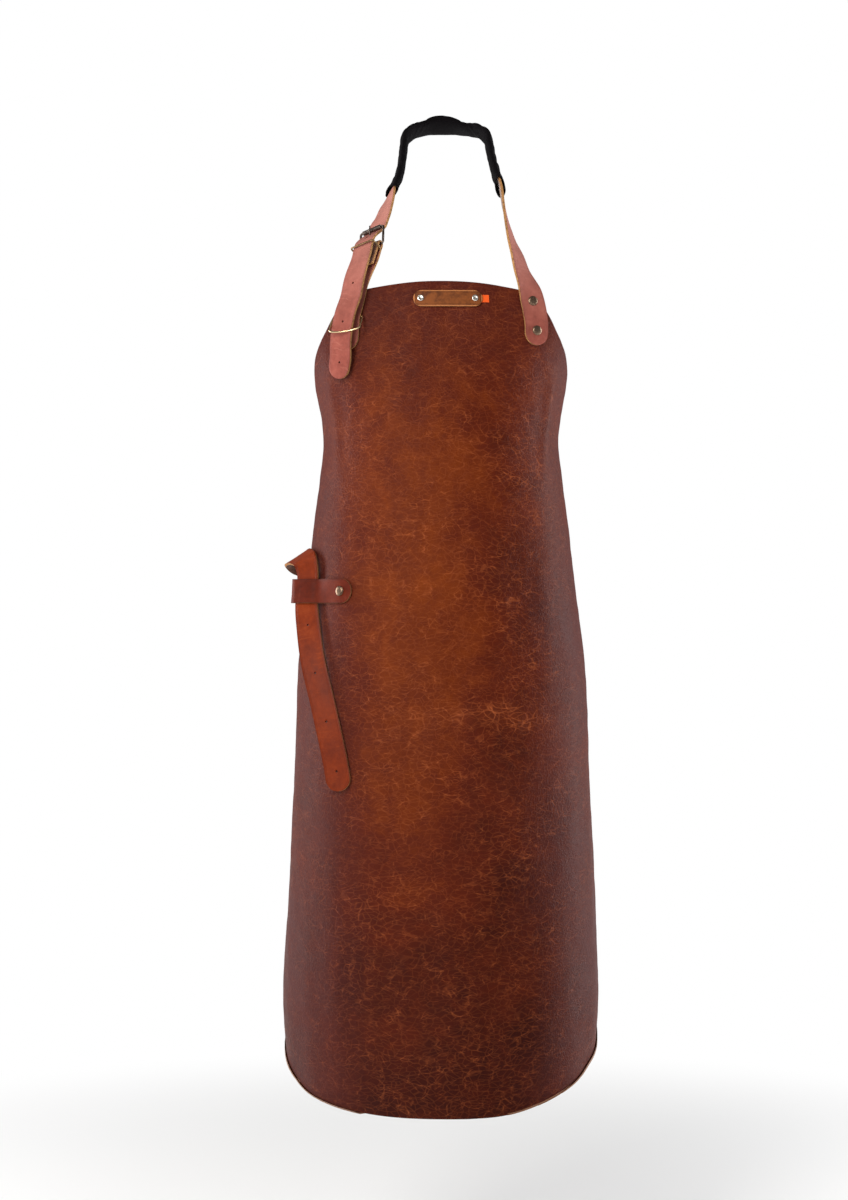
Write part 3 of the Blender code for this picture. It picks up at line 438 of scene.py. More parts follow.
@dataclass(frozen=True)
class SleeveCloth:
    """Matt black twill with slubs and dusty patches."""

    thread: Colour = tone(5, 3, 5)
    dust: Colour = tone(28, 23, 27)

    def material(self) -> bpy.types.Material:
        """Returns the material, which reads the sleeve's flat cut."""
        make = Dresser("sleeve_twill")
        cut = make.cut_place()
        across, along, _ = make.parts(cut)
        twill = ((across + along) * 5200.0).waves() * 0.5 + 0.5
        slub = make.cloud(cut, 420.0, 3.0, 0.6)
        dust = make.cloud(cut, 60.0, 4.0, 0.65).eased(0.52, 0.75)
        colour = make.blend((twill * 0.25 + slub * 0.25 + dust * 0.4 - 0.1).clamped(), self.thread, self.dust)
        relief = make.relief(twill * 0.6 + slub * 0.6, 0.0002, 0.6)
        return make.dress(Base_Color=colour, Roughness=0.92, Normal=relief, Specular_IOR_Level=0.10)


@dataclass(frozen=True)
class TagCloth:
    """A narrow woven ribbon."""

    bright: Colour = tone(255, 106, 16)
    shade: Colour = tone(240, 80, 6)

    def material(self) -> bpy.types.Material:
        """Returns the material, which reads the ribbon's across and run marks."""
        make = Dresser("tag_ribbon")
        across, run = make.mark("across"), make.mark("run")
        ribs = (run * 12000.0).waves() * 0.5 + 0.5
        warp = (across * 50.0).waves() * 0.5 + 0.5
        colour = make.blend((ribs * 0.5 + warp * 0.3).clamped(), self.shade, self.bright)
        return make.dress(Base_Color=colour, Roughness=0.8, Normal=make.relief(ribs + warp, 0.0001, 0.6))


@dataclass(frozen=True)
class LabelGrain:
    """Tan label leather with a pressed line inside a rubbed edge; the face is left plain."""

    body: Colour = tone(146, 80, 34)
    edge: Colour = tone(196, 126, 74)
    line: Colour = tone(80, 38, 14)
    half_width: float = 0.01025
    half_length: float = 0.042

    def material(self) -> bpy.types.Material:
        """Returns the material, which reads the label's across and run marks."""
        make = Dresser("label_leather")
        place = make.own_place()
        side = (make.mark("across").size() - 1.0) * -self.half_width
        tip = ((make.mark("run") - self.half_length).size() - self.half_length) * -1.0
        inset = (side * -1.0).most(tip * -1.0) * -1.0
        mottle = make.cloud(place, 90.0, 5.0, 0.65)
        colour = make.blend((mottle * 0.9 - 0.2).clamped(), self.line, self.body)
        colour = make.blend(0.75 * mottle.eased(0.3, 0.6), colour, self.body)
        colour = make.blend(inset.eased(0.0019, 0.0004) * 0.9, colour, self.edge)
        pressed = (inset - 0.0024).size().eased(0.0005, 0.0001)
        colour = make.blend(pressed * 0.7, colour, self.line)
        grain = make.cloud(place, 1100.0, 3.0, 0.6)
        relief = make.relief(grain * 0.5 + mottle * 0.5 - pressed * 1.5, 0.0003, 0.7)
        return make.dress(Base_Color=colour, Roughness=0.52, Normal=relief, Coat_Weight=0.02,
                          Specular_IOR_Level=0.2)


@dataclass(frozen=True)
class Metal:
    """Cast or drawn fittings, tarnished in patches, specked and scratched."""

    name: str
    bright: Colour
    dull: Colour
    rough: float
    tarnish: float

    def material(self) -> bpy.types.Material:
        """Returns the material."""
        make = Dresser(self.name)
        place = make.own_place()
        tarnish_and_painted_sheen = make.cloud(place, 240.0, 5.0, 0.7)
        specks = make.cloud(place, 1300.0, 3.0, 0.6)
        scratch = make.cloud(make.stretched(place, (1.0, 1.0, 9.0), 0.6), 700.0, 3.0, 0.6).eased(0.60, 0.72)
        stain = (tarnish_and_painted_sheen.eased(0.40, 0.66) * self.tarnish + specks.eased(0.6, 0.8) * 0.2).clamped()
        colour = make.blend(stain, self.bright, self.dull)
        rough = self.rough + stain * 0.22 + scratch * 0.12
        relief = make.relief(tarnish_and_painted_sheen * 0.7 + specks * 0.3 - scratch * 0.4, 0.00012, 0.6)
        return make.dress(Base_Color=colour, Roughness=rough, Metallic=1.0, Normal=relief)


class Finishes:
    """Every finish of the apron, made once."""

    def __init__(self) -> None:
        """Makes the materials."""
        self.flesh = FleshSide().material()
        # painted shade: the hide's cut edge is coloured near black so that the hem's downward edge reads
        # shaded
        self.hide = self.leather(HideGrain(), CutEdge("hide_cut_edge", tone(54, 26, 14), tone(22, 9, 5), 0.0))
        # the neck strap's last three values paint sheen: a pale colour it fades to between two heights
        self.neck = self.leather(
            StrapGrain("neck_strap_leather", tone(150, 78, 66), tone(104, 46, 38), tone(184, 110, 94),
                       tone(196, 142, 130), -0.34, 0.02),
            CutEdge("strap_cut_edge", tone(186, 136, 84), tone(96, 58, 34)))
        self.waist = self.leather(
            StrapGrain("waist_strap_leather", tone(126, 45, 12), tone(88, 26, 7), tone(156, 68, 26)),
            CutEdge("waist_cut_edge", tone(168, 116, 70), tone(84, 46, 26)))
        self.loop = self.leather(
            StrapGrain("side_loop_leather", tone(98, 32, 14), tone(64, 18, 8), tone(126, 52, 28)),
            CutEdge("loop_cut_edge", tone(150, 100, 62), tone(76, 40, 24)))
        self.label = self.leather(
            LabelGrain(), CutEdge("label_cut_edge", tone(186, 124, 78), tone(110, 62, 36)))
        self.tag = [TagCloth().material()] * 3
        self.sleeve = [SleeveCloth().material()]
        self.nickel, self.cap, self.brass, self.pale_brass, self.bright = (metal.material() for metal in (
            Metal("antique_nickel", tone(112, 100, 92), tone(38, 30, 26), 0.32, 0.8),
            Metal("antique_cap", tone(140, 116, 96), tone(54, 38, 30), 0.32, 0.75),
            Metal("antique_brass", tone(164, 134, 96), tone(74, 54, 34), 0.30, 0.6),
            Metal("polished_brass", tone(232, 208, 164), tone(170, 138, 92), 0.20, 0.35),
            Metal("bright_nickel", tone(238, 232, 222), tone(190, 178, 162), 0.18, 0.25)))

    def leather(self, grain: Union[HideGrain, StrapGrain, LabelGrain],
                rim: CutEdge) -> List[bpy.types.Material]:
        """Lists the finishes of a leather piece's face, back and rim."""
        return [grain.material(), self.flesh, rim.material()]


# ================================================================ curves and the body's form
def through(places: Sequence[float], values: Sequence, place: float) -> Union[float, Vector]:
    """Reads a smooth curve through values at uneven places.

    Args:
        places: Rising places of the values.
        values: Numbers or vectors to pass through.
        place: Where to read.

    Returns:
        The value there.
    """
    last = len(places) - 1
    span = max(i for i in range(last) if places[i] <= place or i == 0)
    steps = [places[i + 1] - places[i] for i in range(last)]

    def speed(i: int) -> Union[float, Vector]:
        """Returns the mean slope of one span."""
        return (values[i + 1] - values[i]) / steps[i]

    def slope(i: int) -> Union[float, Vector]:
        """Returns the slope at one value."""
        if i in (0, last):
            return speed(min(i, last - 1))
        return (speed(i - 1) * steps[i] + speed(i) * steps[i - 1]) / (steps[i - 1] + steps[i])

    step = steps[span]
    t = min(1.0, (place - places[span]) / step)
    return (values[span] * (2 * t ** 3 - 3 * t ** 2 + 1) + slope(span) * (step * (t ** 3 - 2 * t ** 2 + t))
            + values[span + 1] * (3 * t ** 2 - 2 * t ** 3) + slope(span + 1) * (step * (t ** 3 - t ** 2)))


def running_lengths(points: Sequence[Vector]) -> List[float]:
    """Lists the length along a line of points, up to each of them."""
    lengths = [0.0]
    for before, after in zip(points, points[1:]):
        lengths.append(lengths[-1] + (after - before).length)
    return lengths


def between(lengths: Sequence[float], distance: float) -> Tuple[int, float]:
    """Returns the last entry not past a distance, and the share of the way to the next one."""
    low, high = 0, len(lengths) - 1
    while high - low > 1:
        middle = (low + high) // 2
        low, high = (middle, high) if lengths[middle] <= distance else (low, middle)
    return low, (distance - lengths[low]) / (lengths[high] - lengths[low])


def axes_place(across: Vector, along: Vector, spot: Vector) -> Matrix:
    """Returns a place with X across, Y along and Z square to both."""
    place = Matrix((across, along, across.cross(along))).transposed().to_4x4()
    place.translation = spot
    return place


def outward_place(out: Vector, spot: Vector) -> Matrix:
    """Returns a place whose Z points outwards."""
    place = out.to_track_quat("Z", "Y").to_matrix().to_4x4()
    place.translation = spot
    return place


@dataclass(frozen=True)
class BodyForm:
    """The wearer's form under the hide, as rounded sections down from the bib's top."""

    bib_top: float = -0.216
    squareness: float = 2.2
    turns: int = 180
    height_step: float = 0.0005
    shift: Tuple[float, float, float] = (0.0, -0.065887, -0.003346)
    sections: Tuple[Tuple[float, float, float], ...] = (
        (0.00, 0.200, 0.088), (0.07, 0.186, 0.103), (0.10, 0.167, 0.108), (0.15, 0.153, 0.113),
        (0.19, 0.148, 0.117), (0.24, 0.153, 0.119), (0.30, 0.161, 0.122), (0.38, 0.170, 0.127),
        (0.46, 0.180, 0.131), (0.62, 0.186, 0.141), (0.80, 0.194, 0.154), (0.90, 0.199, 0.162),
        (1.01, 0.200, 0.172))

    def placed(self, point: Vector) -> Vector:
        """Moves a place on the body's own axis into the part's frame."""
        return point + Vector(self.shift)

    def section(self, height: float) -> Tuple[float, float]:
        """Returns the half width and half depth at a height."""
        drops = [row[0] for row in self.sections]
        drop = min(max(self.bib_top - height, 0.0), drops[-1])
        return tuple(through(drops, [row[k] for row in self.sections], drop) for k in (1, 2))

    def outline(self, half_width: float, half_depth: float, height: float,
                turn: float) -> Tuple[Vector, Vector]:
        """Returns a section's point at a turn from the front centre, and its outward direction."""
        power = 2.0 / self.squareness
        sine, cosine = sin(turn), cos(turn)
        front = 1 if cosine >= 0 else -1
        x = half_width * abs(sine) ** power
        y = -half_depth * abs(cosine) ** power * front
        grip = self.squareness - 1
        out = Vector((abs(x / half_width) ** grip / half_width,
                      -front * abs(y / half_depth) ** grip / half_depth, 0))
        return Vector((x, y, height)), out.normalized()

    @lru_cache(maxsize=None)
    def _girth(self, step: int) -> Tuple[float, ...]:
        """Lists the lengths round a section, at each of its turns, for a height counted in steps."""
        height = step * self.height_step
        half_width, half_depth = self.section(height)
        return tuple(running_lengths([self.outline(half_width, half_depth, height, pi * k / self.turns)[0]
                                      for k in range(self.turns + 1)]))

    def on_girth(self, distance: float, height: float, lift: float = 0.0) -> Tuple[Vector, Vector]:
        """Returns a place by its length round the body from the front centre, and the way out there."""
        step, share = between(self._girth(round(height / self.height_step)), abs(distance))
        point, out = self.outline(*self.section(height), height, pi * (step + share) / self.turns)
        if distance < 0:
            point.x, out.x = -point.x, -out.x
        return self.placed(point + out * lift), out

    def up_girth(self, distance: float, height: float) -> Vector:
        """Returns the way up the body's surface."""
        above, below = (self.on_girth(distance, height + reach)[0] for reach in (0.006, -0.006))
        return (above - below).normalized()

    def on_front(self, share: float, height: float, lift: float = 0.0) -> Tuple[Vector, Vector]:
        """Returns a place on the front by its share of the half width, and the way out there."""
        half_width, half_depth = self.section(height)
        y = -half_depth * (1 - abs(share) ** self.squareness) ** (1 / self.squareness)
        grip = self.squareness - 1
        out = Vector(((1 if share > 0 else -1) * abs(share) ** grip / half_width,
                      -abs(y / half_depth) ** grip / half_depth, 0.0)).normalized()
        return self.placed(Vector((share * half_width, y, height)) + out * lift), out


BODY = BodyForm()


class Route:
    """The centre line of a strap with the direction across it, read by length."""

    SAMPLES = 10

    def __init__(self, stations: Sequence[Station]) -> None:
        """Fits a smooth line through stations of (place, direction across)."""
        points = [Vector(point) for point, _ in stations]
        sides = [Vector(side).normalized() for _, side in stations]
        marks = running_lengths(points)
        places = [marks[i] + (marks[i + 1] - marks[i]) * k / self.SAMPLES
                  for i in range(len(marks) - 1) for k in range(self.SAMPLES)] + [marks[-1]]
        self.points = [through(marks, points, place) for place in places]
        self.sides = [through(marks, sides, place) for place in places]
        self.lengths = running_lengths(self.points)
        self.stations = [self.lengths[i * self.SAMPLES] for i in range(len(stations))]
        self.length = self.lengths[-1]

    def _read(self, values: Sequence[Vector], distance: float) -> Vector:
        """Reads between two samples."""
        sample, share = between(self.lengths, min(max(distance, 0.0), self.length))
        return values[sample].lerp(values[sample + 1], share)

    def frame(self, distance: float) -> Matrix:
        """Returns the place there: X across the strap, Y along it, Z out of its face."""
        reach = 0.002
        ahead, behind = (self._read(self.points, distance + step) for step in (reach, -reach))
        along = (ahead - behind).normalized()
        across = self._read(self.sides, distance)
        across = (across - along * across.dot(along)).normalized()
        return axes_place(across, along, self._read(self.points, distance))


# ================================================================ making pieces
def settled(bm: bmesh.types.BMesh, name: str, finishes: Sequence[bpy.types.Material],
            modifiers: Optional[Callable[[bpy.types.Object], None]] = None,
            crease: float = 35.0) -> bpy.types.Object:
    """Makes an object of a bmesh with its modifiers applied.

    Args:
        bm: The shape, which is freed.
        name: The piece's name.
        finishes: Its materials, in slot order.
        modifiers: Adds the modifiers to the object, where it has any.
        crease: The angle in degrees past which an edge shades sharp.

    Returns:
        The finished object, at the origin.
    """
    rough = bpy.data.meshes.new(name + "_rough")
    bm.to_mesh(rough)
    bm.free()
    item = bpy.data.objects.new(name, rough)
    bpy.context.scene.collection.objects.link(item)
    for material in finishes:
        rough.materials.append(material)
    if modifiers is not None:
        modifiers(item)
    bpy.context.view_layer.update()
    mesh = bpy.data.meshes.new_from_object(item.evaluated_get(bpy.context.evaluated_depsgraph_get()))
    mesh.name = name
    item.modifiers.clear()
    item.data = mesh
    bpy.data.meshes.remove(rough)
    mesh.shade_smooth()
    mesh.set_sharp_from_angle(angle=radians(crease))
    return item


def give_body(item: bpy.types.Object, thickness: float, offset: float, lined: bool = True) -> None:
    """Thickens a sheet, whose back and rim take their own finishes where it is lined."""
    body = item.modifiers.new("body", "SOLIDIFY")
    body.thickness = thickness
    body.offset = offset
    if lined:
        body.material_offset, body.material_offset_rim = 1, 2


def ease_edges(item: bpy.types.Object, width: float) -> None:
    """Rounds the edges that turn sharply."""
    eased = item.modifiers.new("eased", "BEVEL")
    eased.width = width
    eased.segments = 2
    eased.limit_method = "ANGLE"
    eased.angle_limit = radians(50)


def punch_through(item: bpy.types.Object, cutter: bpy.types.Object) -> None:
    """Cuts the cutter's holes and slots."""
    holes = item.modifiers.new("holes", "BOOLEAN")
    holes.operation = "DIFFERENCE"
    holes.solver = "EXACT"
    holes.object = cutter


def write_cut(bm: bmesh.types.BMesh, cut: bmesh.types.BMLayerItem,
              flat: Dict[bmesh.types.BMVert, Tuple[float, float]]) -> None:
    """Writes each point's place on the flat cut into the UV layer."""
    for face in bm.faces:
        for loop in face.loops:
            loop[cut].uv = flat[loop.vert]


def punches(places: Sequence[Punch]) -> Optional[bpy.types.Object]:
    """Makes the cutters of holes and slots.

    Args:
        places: (place, half width, half length, depth) of each; a round hole has equal halves.

    Returns:
        The cutter object, or None where there is nothing to cut.
    """
    if not places:
        return None
    bm = bmesh.new()
    for place, half_width, half_length, depth in places:
        made = bmesh.ops.create_cone(bm, cap_ends=True, segments=20, radius1=half_width, radius2=half_width,
                                     depth=depth)
        for vert in made["verts"]:
            spread = half_length - half_width
            vert.co.y += spread if vert.co.y > TINY else (-spread if vert.co.y < -TINY else 0.0)
        bmesh.ops.transform(bm, matrix=place, verts=made["verts"])
    mesh = bpy.data.meshes.new("punches")
    bm.to_mesh(mesh)
    bm.free()
    cutter = bpy.data.objects.new("punches", mesh)
    bpy.context.scene.collection.objects.link(cutter)
    return cutter


@dataclass
class StrapPiece:
    """A flat strap along a route, with rounded ends, punched holes and eased edges."""

    name: str
    route: Route
    width: float
    thickness: float
    finishes: List[bpy.types.Material]
    round_start: bool = False
    round_end: bool = False
    holes: List[Punch] = field(default_factory=list)
    row_pitch: float = 0.003
    columns: int = 10
    edge: float = 0.0005
    ripple: float = 0.00018

    def rows(self) -> List[Tuple[float, float]]:
        """Lists (distance, share of the width) down the strap."""
        end, radius = self.route.length, self.width / 2
        turns = [radians(angle) for angle in (6, 14, 24, 34, 44, 54, 64, 74, 82)]
        first = radius if self.round_start else 0.0
        final = end - radius if self.round_end else end
        count = max(2, round((final - first) / self.row_pitch))
        rows = [(first + (final - first) * k / count, 1.0) for k in range(count + 1)]
        if self.round_start:
            rows = [(radius * (1 - cos(turn)), sin(turn)) for turn in turns] + rows
        if self.round_end:
            rows += [(end - radius * (1 - cos(turn)), sin(turn)) for turn in reversed(turns)]
        return rows

    def build(self) -> bpy.types.Object:
        """Builds the strap and returns it."""
        rows = self.rows()
        bm = bmesh.new()
        across_mark = bm.verts.layers.float.new("across")
        run_mark = bm.verts.layers.float.new("run")
        bmesh.ops.create_grid(bm, x_segments=self.columns, y_segments=len(rows) - 1, size=0.5)
        for vert in bm.verts:
            distance, share = rows[round((vert.co.y + 0.5) * (len(rows) - 1))]
            across = vert.co.x * 2 * share
            vert[across_mark], vert[run_mark] = across, distance
            uneven = noise.noise(Vector((across * 1.3, distance * 42, 3.7))) * self.ripple
            vert.co = self.route.frame(distance) @ Vector((across * self.width / 2, 0.0, uneven))
        cutter = punches(self.holes)

        def finish(item: bpy.types.Object) -> None:
            """Gives the strap its body, its holes and its eased edges."""
            give_body(item, self.thickness, 0.0)
            if cutter is not None:
                punch_through(item, cutter)
            ease_edges(item, self.edge)

        item = settled(bm, self.name, self.finishes, finish)
        if cutter is not None:
            bpy.data.objects.remove(cutter)
        return item


def turned(name: str, profile: Sequence[Tuple[float, float]], place: Matrix,
           finishes: Sequence[bpy.types.Material], steps: int = 32) -> bpy.types.Object:
    """Turns a profile of (radius, height) points about the place's Z.

    Args:
        name: The piece's name.
        profile: The outline, from one end of the axis to the other or closed on itself.
        place: Where the piece stands.
        finishes: Its materials.
        steps: Facets in a full turn.

    Returns:
        The turned piece.
    """
    bm = bmesh.new()
    verts = [bm.verts.new((radius, 0.0, height)) for radius, height in profile]
    edges = [bm.edges.new(pair) for pair in zip(verts, verts[1:])]
    bmesh.ops.spin(bm, geom=verts + edges, cent=(0, 0, 0), axis=(0, 0, 1), angle=2 * pi, steps=steps,
                   use_merge=True)
    bmesh.ops.remove_doubles(bm, verts=bm.verts, dist=TINY)
    bmesh.ops.recalc_face_normals(bm, faces=bm.faces)
    bmesh.ops.transform(bm, matrix=place, verts=bm.verts)
    return settled(bm, name, finishes, crease=METAL_CREASE)


def bent_wire(name: str, points: Sequence[Tuple[float, float, float]], radius: float, place: Matrix,
              finishes: Sequence[bpy.types.Material], closed: bool = True,
              taper: float = 1.0) -> bpy.types.Object:
    """Bends round wire along points in a place.

    Args:
        name: The piece's name.
        points: The wire's middle line.
        radius: The wire's radius.
        place: Where the wire stands.
        finishes: Its materials.
        closed: Whether the wire closes on itself.
        taper: The share of its radius left at an open end.

    Returns:
        The wire as a mesh piece.
    """
    data = bpy.data.curves.new(name, "CURVE")
    data.dimensions = "3D"
    data.bevel_depth = radius
    data.bevel_resolution = 5
    data.use_fill_caps = True
    spline = data.splines.new("POLY")
    spline.points.add(len(points) - 1)
    for index, (spot, point) in enumerate(zip(spline.points, points)):
        spot.co = (*point, 1.0)
        if not closed:
            spot.radius = 1.0 - (1.0 - taper) * ease(0.45, 1.0, index / (len(points) - 1))
    spline.use_cyclic_u = closed
    bent = bpy.data.objects.new(name + "_bent", data)
    bpy.context.scene.collection.objects.link(bent)
    bpy.context.view_layer.update()
    mesh = bpy.data.meshes.new_from_object(bent.evaluated_get(bpy.context.evaluated_depsgraph_get()))
    bm = bmesh.new()
    bm.from_mesh(mesh)
    bpy.data.objects.remove(bent)
    bpy.data.curves.remove(data)
    bpy.data.meshes.remove(mesh)
    bmesh.ops.remove_doubles(bm, verts=bm.verts, dist=TINY)
    bmesh.ops.recalc_face_normals(bm, faces=bm.faces)
    bmesh.ops.transform(bm, matrix=place, verts=bm.verts)
    for face in bm.faces:
        face.material_index = 0
    return settled(bm, name, finishes, crease=METAL_CREASE)


def corner(centre_x: float, centre_y: float, radius: float, from_angle: float) -> List[Tuple[float, float]]:
    """Lists a quarter turn of wire about a centre, anticlockwise."""
    angles = [from_angle + pi / 2 * k / 8 for k in range(9)]
    return [(centre_x + radius * cos(a), centre_y + radius * sin(a)) for a in angles]


def rounded_rectangle(half_width: float, low: float, high: float, radius: float) -> List[Tuple[float, float]]:
    """Lists a closed rectangle of wire, |x| to half_width and y from low to high."""
    x, bottom, top = half_width - radius, low + radius, high - radius
    return (corner(x, top, radius, 0) + corner(-x, top, radius, pi / 2)
            + corner(-x, bottom, radius, pi) + corner(x, bottom, radius, 3 * pi / 2))


def own_points(node: str) -> List[Vector]:
    """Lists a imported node's corners, each once."""
    seen = {tuple(round(value, 6) for value in vert.co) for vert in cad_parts[node].data.vertices}
    return [Vector(point) for point in sorted(seen)]


class RivetHead(Enum):
    """The two forms of rivet cap: a domed cap and a flat one with a dimple."""

    DOME = "dome"
    EYELET = "eyelet"


@dataclass
class Rivet:
    """A tubular rivet read from its packed cap and post: cap, shank and flange in one."""

    name: str
    head: RivetHead
    finish: bpy.types.Material
    shank: float = 0.0015

    def axis(self) -> Tuple[Vector, Vector, Vector]:
        """Returns the middles of the cap and the post, and the way out."""
        cap, post = own_points(self.name + "_cap"), own_points(self.name + "_post")
        middles = [sum(points, Vector()) / len(points) for points in (cap, post)]
        return middles[0], middles[1], (middles[0] - middles[1]).normalized()

    def build(self) -> bpy.types.Object:
        """Builds the rivet in the place of its packed cap and post."""
        middle, _, out = self.axis()
        cap, post = own_points(self.name + "_cap"), own_points(self.name + "_post")
        levels = [(point - middle).dot(out) for point in cap]
        radius = max(((point - middle) - out * (point - middle).dot(out)).length for point in cap)
        seat, crown = min(levels), max(levels) - min(levels)
        foot = min((point - middle).dot(out) for point in post) - seat
        domed = self.head is RivetHead.DOME
        flange = radius * (0.70 if domed else 0.72)
        profile = self.dome(radius, crown) if domed else self.eyelet(radius, crown)
        profile += [(self.shank, 0.0), (self.shank, foot + 0.0009), (flange, foot + 0.0009),
                    (flange, foot + 0.0005), (flange * 0.92, foot + 0.00025), (flange * 0.6, foot),
                    (flange * 0.3, foot), (flange * 0.22, foot + 0.00035), (0.0, foot + 0.0004)]
        item = turned(self.name, profile, outward_place(out, middle + out * seat), [self.finish])
        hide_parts(self.name + "_cap", self.name + "_post")
        return item

    def dome(self, radius: float, crown: float) -> List[Tuple[float, float]]:
        """Returns a domed cap's outline from its top to its seat."""
        rise = [(radius * 0.93 * sin(radians(a)), crown * (0.30 + 0.70 * cos(radians(a))))
                for a in range(0, 91, 9)]
        return rise + [(radius * 0.97, crown * 0.26), (radius, crown * 0.16), (radius, crown * 0.05),
                       (radius * 0.98, 0.0)]

    def eyelet(self, radius: float, crown: float) -> List[Tuple[float, float]]:
        """Returns a flat cap's outline, with a rolled rim round a shallow dish."""
        dish = [(0.0, crown * 0.62), (radius * 0.22, crown * 0.60), (radius * 0.40, crown * 0.66)]
        rim = [(radius * (0.72 - 0.28 * cos(radians(a))), crown * (0.58 + 0.42 * sin(radians(a))))
               for a in range(20, 181, 16)]
        return dish + rim + [(radius, crown * 0.3), (radius, crown * 0.08), (radius * 0.97, 0.0)]


# ================================================================ the hide
@dataclass
class HidePanel:
    """The apron's hide: one cut sheet over the body's front, from the bib to the hem."""

    finishes: List[bpy.types.Material]
    length: float = 1.010
    width: float = 0.700
    thickness: float = HIDE_THICKNESS
    edge: float = 0.0004
    bib_half: float = 0.100
    bib_bow: float = 0.011
    hem_rise: float = 0.060
    hem_lean: float = 0.021
    hem_corner: float = 0.070
    columns: int = 132
    armhole: Tuple[Tuple[float, float], ...] = (
        (0.000, 0.000), (0.014, 0.020), (0.055, 0.050), (0.090, 0.078),
        (0.150, 0.135), (0.200, 0.190), (0.250, 0.232), (0.290, 0.250))

    def half_width(self, drop: float) -> float:
        """Returns the cut half width at a drop below the bib's top."""
        grown = through([row[0] for row in self.armhole], [row[1] for row in self.armhole],
                        min(drop, self.armhole[-1][0]))
        half = self.bib_half + grown / self.armhole[-1][1] * (self.width / 2 - self.bib_half)
        into_corner = drop - (self.length - self.hem_corner)
        if into_corner > 0:
            half -= self.hem_corner - sqrt(max(self.hem_corner ** 2 - into_corner ** 2, 0.0))
        return half

    def rows(self) -> List[float]:
        """Lists the drops of the cross lines."""
        armhole_end, corner_start = self.armhole[-1][0], self.length - self.hem_corner
        armhole = [armhole_end * k / 64 for k in range(64)]
        skirt = [armhole_end + (corner_start - armhole_end) * k / 110 for k in range(110)]
        hem = [corner_start + self.hem_corner * sin(pi / 2 * k / 20) for k in range(21)]
        return armhole + skirt + hem

    def sag(self, across: float, drop: float, clear: float) -> float:
        """Returns how far the skin lies below its even form.

        Args:
            across: Length round the body from the front centre.
            drop: Length down from the bib's top.
            clear: 0 at a fastening, 1 away from all of them.

        Returns:
            The depth in metres, which may be slightly negative.
        """
        wide = noise.noise(Vector((across * 7, drop * 4, 1.3))) * 0.0022
        calm = ease(1.005, 0.93, drop)
        folds = noise.noise(Vector((across * 26, drop * 6, 5.1))) * 0.0012 * ease(0.16, 0.40, drop) * calm
        crinkle = noise.noise(Vector((across * 70, drop * 62, 8.4))) * 0.00055 * calm
        wander = 0.012 * noise.noise(Vector((across * 18, 0, 2.2)))
        band = ease(0.020, 0.002, abs(drop - CREASE_DROP - wander))
        crumple = band * ease(0.17, 0.11, abs(across - 0.03)) * (
            0.0007 + 0.0021 * noise.noise(Vector((across * 90, drop * 140, 4.4))))
        ridge = sum(-0.0030 * ease(0.016, 0.0, abs(across - side * (0.150 - (drop - 0.13) * 0.10)))
                    * ease(0.09, 0.14, drop) * ease(0.27, 0.19, drop) for side in (-1, 1))
        hem = 0.0020 * ease(0.80, 1.01, drop) * noise.noise(Vector((across * 9, 0.0, 6.6)))
        hem -= 0.0055 * ease(0.60, 0.92, drop) * ease(0.06, 0.16, across) * ease(0.30, 0.21, across)
        hem += 0.0045 * ease(0.90, 1.01, drop) * ease(0.165, 0.215, abs(across))
        return (0.0016 + wide + folds + crinkle + crumple + ridge + hem) * clear

    def build(self, fastenings: Sequence[Vector], holes: Sequence[Punch]) -> bpy.types.Object:
        """Builds the hide.

        Args:
            fastenings: Places where the hide is held and stays even.
            holes: Punched holes for the rivets.

        Returns:
            The hide.
        """
        rows = self.rows()
        bm = bmesh.new()
        cut = bm.loops.layers.uv.new("cut")
        flat: Dict[bmesh.types.BMVert, Tuple[float, float]] = {}
        bmesh.ops.create_grid(bm, x_segments=self.columns, y_segments=len(rows) - 1, size=0.5)
        for vert in bm.verts:
            share = vert.co.x * 2
            drop = rows[round((0.5 - vert.co.y) * (len(rows) - 1))]
            down = drop / self.length
            height = BODY.bib_top - drop - self.bib_bow * share ** 2 * (1 - down)
            height += self.hem_rise * abs(share) ** 2.5 * down ** 3
            height += self.hem_lean * ease(0.22, 0.80, share) * down ** 8
            across = share * self.half_width(drop)
            even, out = BODY.on_girth(across, height, self.thickness)
            nearest = min((even - spot).length for spot in fastenings)
            flat[vert] = (across, -drop)
            vert.co = even - out * self.sag(across, drop, ease(0.012, 0.045, nearest))
        write_cut(bm, cut, flat)
        bmesh.ops.recalc_face_normals(bm, faces=bm.faces)
        if min(bm.faces, key=lambda face: face.calc_center_median().y).normal.y > 0:
            bmesh.ops.reverse_faces(bm, faces=bm.faces)
        cutter = punches(holes)

        def finish(item: bpy.types.Object) -> None:
            """Gives the hide its body and its eased cut edge."""
            give_body(item, self.thickness, -1.0)
            ease_edges(item, self.edge)
            punch_through(item, cutter)

        item = settled(bm, "hide", self.finishes, finish)
        bpy.data.objects.remove(cutter)
        area = sum((self.half_width(a) + self.half_width(b)) * (b - a) for a, b in zip(rows, rows[1:]))
        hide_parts("apron_panel")
        return item


